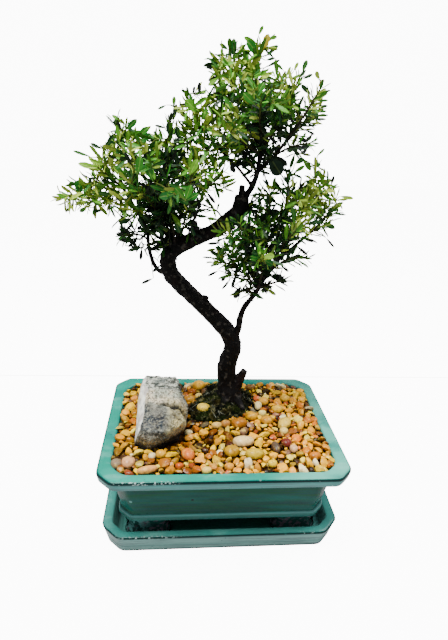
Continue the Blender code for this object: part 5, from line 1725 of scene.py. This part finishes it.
def radialAt(heading, turn):
    # a direction square to the heading, turned round it
    level = Vector((0, 0, 1)) if abs(heading.z) < 0.9 else Vector((1, 0, 0))
    return Matrix.Rotation(turn, 3, heading) @ heading.cross(level).normalized()


def lineLength(line):
    return sum((line[i + 1][0] - line[i][0]).length for i in range(len(line) - 1))


def pointOn(line, travelled):
    # the point that far along a line, and the way the line runs there
    for i in range(len(line) - 1):
        span = line[i + 1][0] - line[i][0]
        if travelled <= span.length or i == len(line) - 2:
            share = min(travelled / span.length, 1.0)
            return line[i][0].lerp(line[i + 1][0], share), span.normalized()
        travelled -= span.length


def massOf(name):
    return next(mass for mass in leafGroups if name.startswith(mass))


def startOf(line, share):
    # the first part of a line
    limit = lineLength(line) * share
    kept = [line[0]]
    for i in range(len(line) - 1):
        limit -= (line[i + 1][0] - line[i][0]).length
        if limit < 0:
            break
        kept.append(line[i + 1])
    return kept if len(kept) > 1 else line[:2]


def jointsOf(line):
    # places where a twig can start, with the way the line runs there
    return [(place, heading) for place, heading, _, _ in alongLines([line])]


def twigTo(target, joints, tip):
    # a bent twig from the best place on the branches so far
    def effort(joint):
        gap = target - joint[0]
        back = max(0.0, -gap.normalized().dot(joint[1]))
        return gap.length + 0.6 * max(0.0, -gap.z) + 0.25 * back * gap.length
    start, heading = min(joints, key=effort)
    gap = target - start
    if gap.length < 1.0:
        return None
    bend = start + heading * gap.length * 0.3 + gap * 0.25 + Vector((0, 0, 0.06)) * gap.length
    thick = min(crown["twig"][0], 0.45 + 0.012 * gap.length)
    line = []
    steps = max(3, int(gap.length / 5))
    for k in range(steps + 1):
        t = k / steps
        point = start * (1 - t) ** 2 + bend * 2 * t * (1 - t) + target * t ** 2
        line.append((point, thick + (tip - thick) * t))
    return line


def groupTargets(mass, draw):
    # where the shoots of each group end, strewn evenly in its ellipsoid
    targets = []
    for x, z, halfX, halfZ, count, _, behind, halfDepth in leafGroups[mass]:
        count = round(count * crown["shoots"])
        while count:
            spot = Vector([draw.uniform(-1, 1) for _ in range(3)])
            if spot.length < 1:
                targets.append(seenAt(x + spot.x * halfX, z + spot.y * halfZ, behind + spot.z * halfDepth))
                count -= 1
    return targets


def turnOf(along, up):
    return tuple(Matrix((along.cross(up), along, up)).transposed().to_euler("XYZ"))


def leafMark(draw, base, heading, turn, share, mass, length):
    splay, less = crown["splay"]
    spread = splay - less * share + draw.uniform(-0.2, 0.2)
    along = heading + radialAt(heading, turn) * spread + Vector((0, 0, draw.uniform(-0.12, 0.22)))
    along.normalize()
    outward = base - seenAt(*crown["middle"][mass], 0)
    outward.z = 0
    up = (heading - along * heading.dot(along)).normalized() + Vector((0, 0, crown["upward"]))
    up += outward.normalized() * crown["outward"]
    up = (up - along * up.dot(along)).normalized()
    tone = toneAt(mass, base + along * length * 0.5)
    # the tint is the painted light and shade of the groups, paler towards the twig's fresh tip, with a random
    # spread
    tint = tone + 0.1 * share + draw.gauss(crown["lift"][mass] * min(1.4, 2.6 * tone), crown["uneven"])
    if tint > 0.3 and draw.random() < crown["pale"]:
        tint = draw.uniform(*crown["paleTones"])
    return {
        "at": base,
        "along": along,
        "turn": turnOf(along, up),
        "size": (length * draw.uniform(*crown["leafWidth"]), length, length),
        "variant": draw.randrange(3),
        "tint": min(crown["brightest"], max(0.0, tint)),
        "shade": draw.random(),
    }


def leavesOn(line, draw, mass, marks, taken, start=0.0):
    # leaves in crossed pairs from the start share of a twig to its tip
    length = lineLength(line)
    full, less = crown["tipShare"]
    travelled = start * length + draw.uniform(1.0, 3.0)
    turn = draw.uniform(0, math.tau)
    while True:
        last = travelled > length - 2.0
        base, heading = pointOn(line, min(travelled, length - 0.3))
        share = min(1.0, travelled / length)
        for side in (0, math.pi):
            blade = draw.uniform(*crown["leafLength"]) * crown["leafScale"][mass]
            blade *= 1.0 - less * max(0.0, share - full) / (1.0 - full)
            mark = leafMark(draw, base, heading, turn + side + draw.uniform(-0.3, 0.3), share, mass, blade)
            if isClear(base + mark["along"] * blade * 0.6, taken):
                marks.append(mark)
        if last:
            return
        travelled = min(travelled + draw.uniform(*crown["pairEvery"]), length)
        turn += math.pi / 2 + draw.uniform(-0.25, 0.25)


def standoutMark(draw, baseX, baseZ, tipX, tipZ, width, tone, behind=0):
    base = seenAt(baseX, baseZ, behind)
    tip = seenAt(tipX, tipZ, behind - 1.0)
    along = (tip - base).normalized()
    toEye = Vector(viewOfPhoto["place"]) / mm - base
    up = toEye - along * toEye.dot(along) + Vector((0, 0, 60))
    up = (up - along * up.dot(along)).normalized()
    wider, extra, longer = crown["standout"]
    length = (tip - base).length * longer
    return {
        "at": base,
        "turn": turnOf(along, up),
        "size": ((width * wider + extra) / bladeWidth, length, length),
        "variant": 0,
        "tint": tone,
        "shade": draw.uniform(0, 0.4),
    }


def isClear(point, taken):
    # whether no other leaf is too near, and then the place is taken
    cell = tuple(int(number // 4) for number in point)
    for i in (-1, 0, 1):
        for j in (-1, 0, 1):
            for k in (-1, 0, 1):
                for other in taken.get((cell[0] + i, cell[1] + j, cell[2] + k), ()):
                    if (other - point).length < crown["keepApart"]:
                        return False
    taken.setdefault(cell, []).append(point)
    return True


def leafFinish():
    blade = Finish("leafBlade", None, 0.45, {"Specular IOR Level": 0.2})
    tint = blade.attribute("tint")
    # the tint runs from leaves in painted shade to leaves in painted light, and on to bronze new growth
    blade.colour = blade.ramp(tint, [
        (0.0, (1, 8, 5)), (0.12, (4, 24, 14)), (0.28, (12, 66, 28)), (0.46, (38, 122, 36)), (0.68, (96, 168, 38)),
        (0.86, (182, 208, 78)), (0.95, (182, 170, 44)), (1.0, (168, 130, 30))])
    blade.layer(blade.attribute("shade"), (3, 28, 12), 0.4)
    blade.layer(blade.attribute("under"), (90, 130, 64), 0.12)
    # pale midrib, raised from below and sunk on top
    place = blade.node("ShaderNodeUVMap", "UV", {}, uv_map="blade")
    across = blade.node("ShaderNodeSeparateXYZ", "X", {"Vector": place})
    rib = blade.span(blade.maths("ABSOLUTE", blade.maths("SUBTRACT", across, 0.5)), 0.07, 0.02)
    blade.layer((rib, blade.maths("MINIMUM", tint, 0.6)), (170, 196, 96), 0.7)
    blade.mottle(500.0, 0.5, 0.7, (10, 44, 10), 0.3)
    blade.raiseBy(rib, -0.6)
    blade.raiseBy(blade.mask(900.0, 0.3, 0.7), 0.3)
    return blade.done(0.35, 0.0004)


def growMass(mass, draw, taken):
    marks = []
    twigs = []
    joints = []
    for name in limbs:
        if massOf(name) == mass:
            old, young = splitLimb(name)
            young = startOf(young, crown["kept"])
            joints += jointsOf(old[len(old) // 3:]) + jointsOf(young)
            twigs.append(young)
            leavesOn(young, draw, mass, marks, taken)
    # further shoots fill the groups, from the limbs outwards
    limbPlaces = [place for place, _ in joints]
    targets = groupTargets(mass, draw)
    targets.sort(key=lambda target: min((target - place).length for place in limbPlaces))
    for target in targets:
        twig = twigTo(target, joints, crown["twig"][1])
        if twig:
            twigs.append(twig)
            joints += jointsOf(twig)[1:]
            leavesOn(twig, draw, mass, marks, taken, crown["bare"])
    for leaf in standoutLeaves[mass]:
        mark = standoutMark(draw, *leaf)
        stem = twigTo(mark["at"], joints, crown["stem"])
        if stem:
            twigs.append(stem)
        marks.append(mark)
    return marks, twigs


def growCrown(user, leafPaint, twigPaint):
    draw = random.Random(user["seed"])
    shapes = shapeSet("leafShapes", [bladeMesh(*kind) for kind in bladeKinds])
    taken = {}
    for mass in leafGroups:
        marks, twigs = growMass(mass, draw, taken)
        nodes = ["spray_" + mass + "_" + name[len(mass):].lower() for name in limbs if massOf(name) == mass]
        leaves = runTree(mass + "Leaves", pointMesh(mass + "LeafPoints", marks, ["tint", "shade"]), placingTree,
                         {"Shapes": shapes, "Size": 1.0, "Sway": user["sway"], "Seed": 2, "Finish": leafPaint})
        onBody(leaves, "leaf", *nodes)
        shoots = runTree(mass + "Twigs", lineCurve(mass + "TwigLines", twigs), followTree,
                         {"Sides": 6, "Thickness": mm, "Finish": twigPaint})
        onBody(shoots, "bark", *nodes)
        print("stage:", mass, "mass has", len(marks), "leaves and", len(twigs), "twigs")


growCrown(crown, leafFinish(), barkPaint)

print("stage: all pieces made")
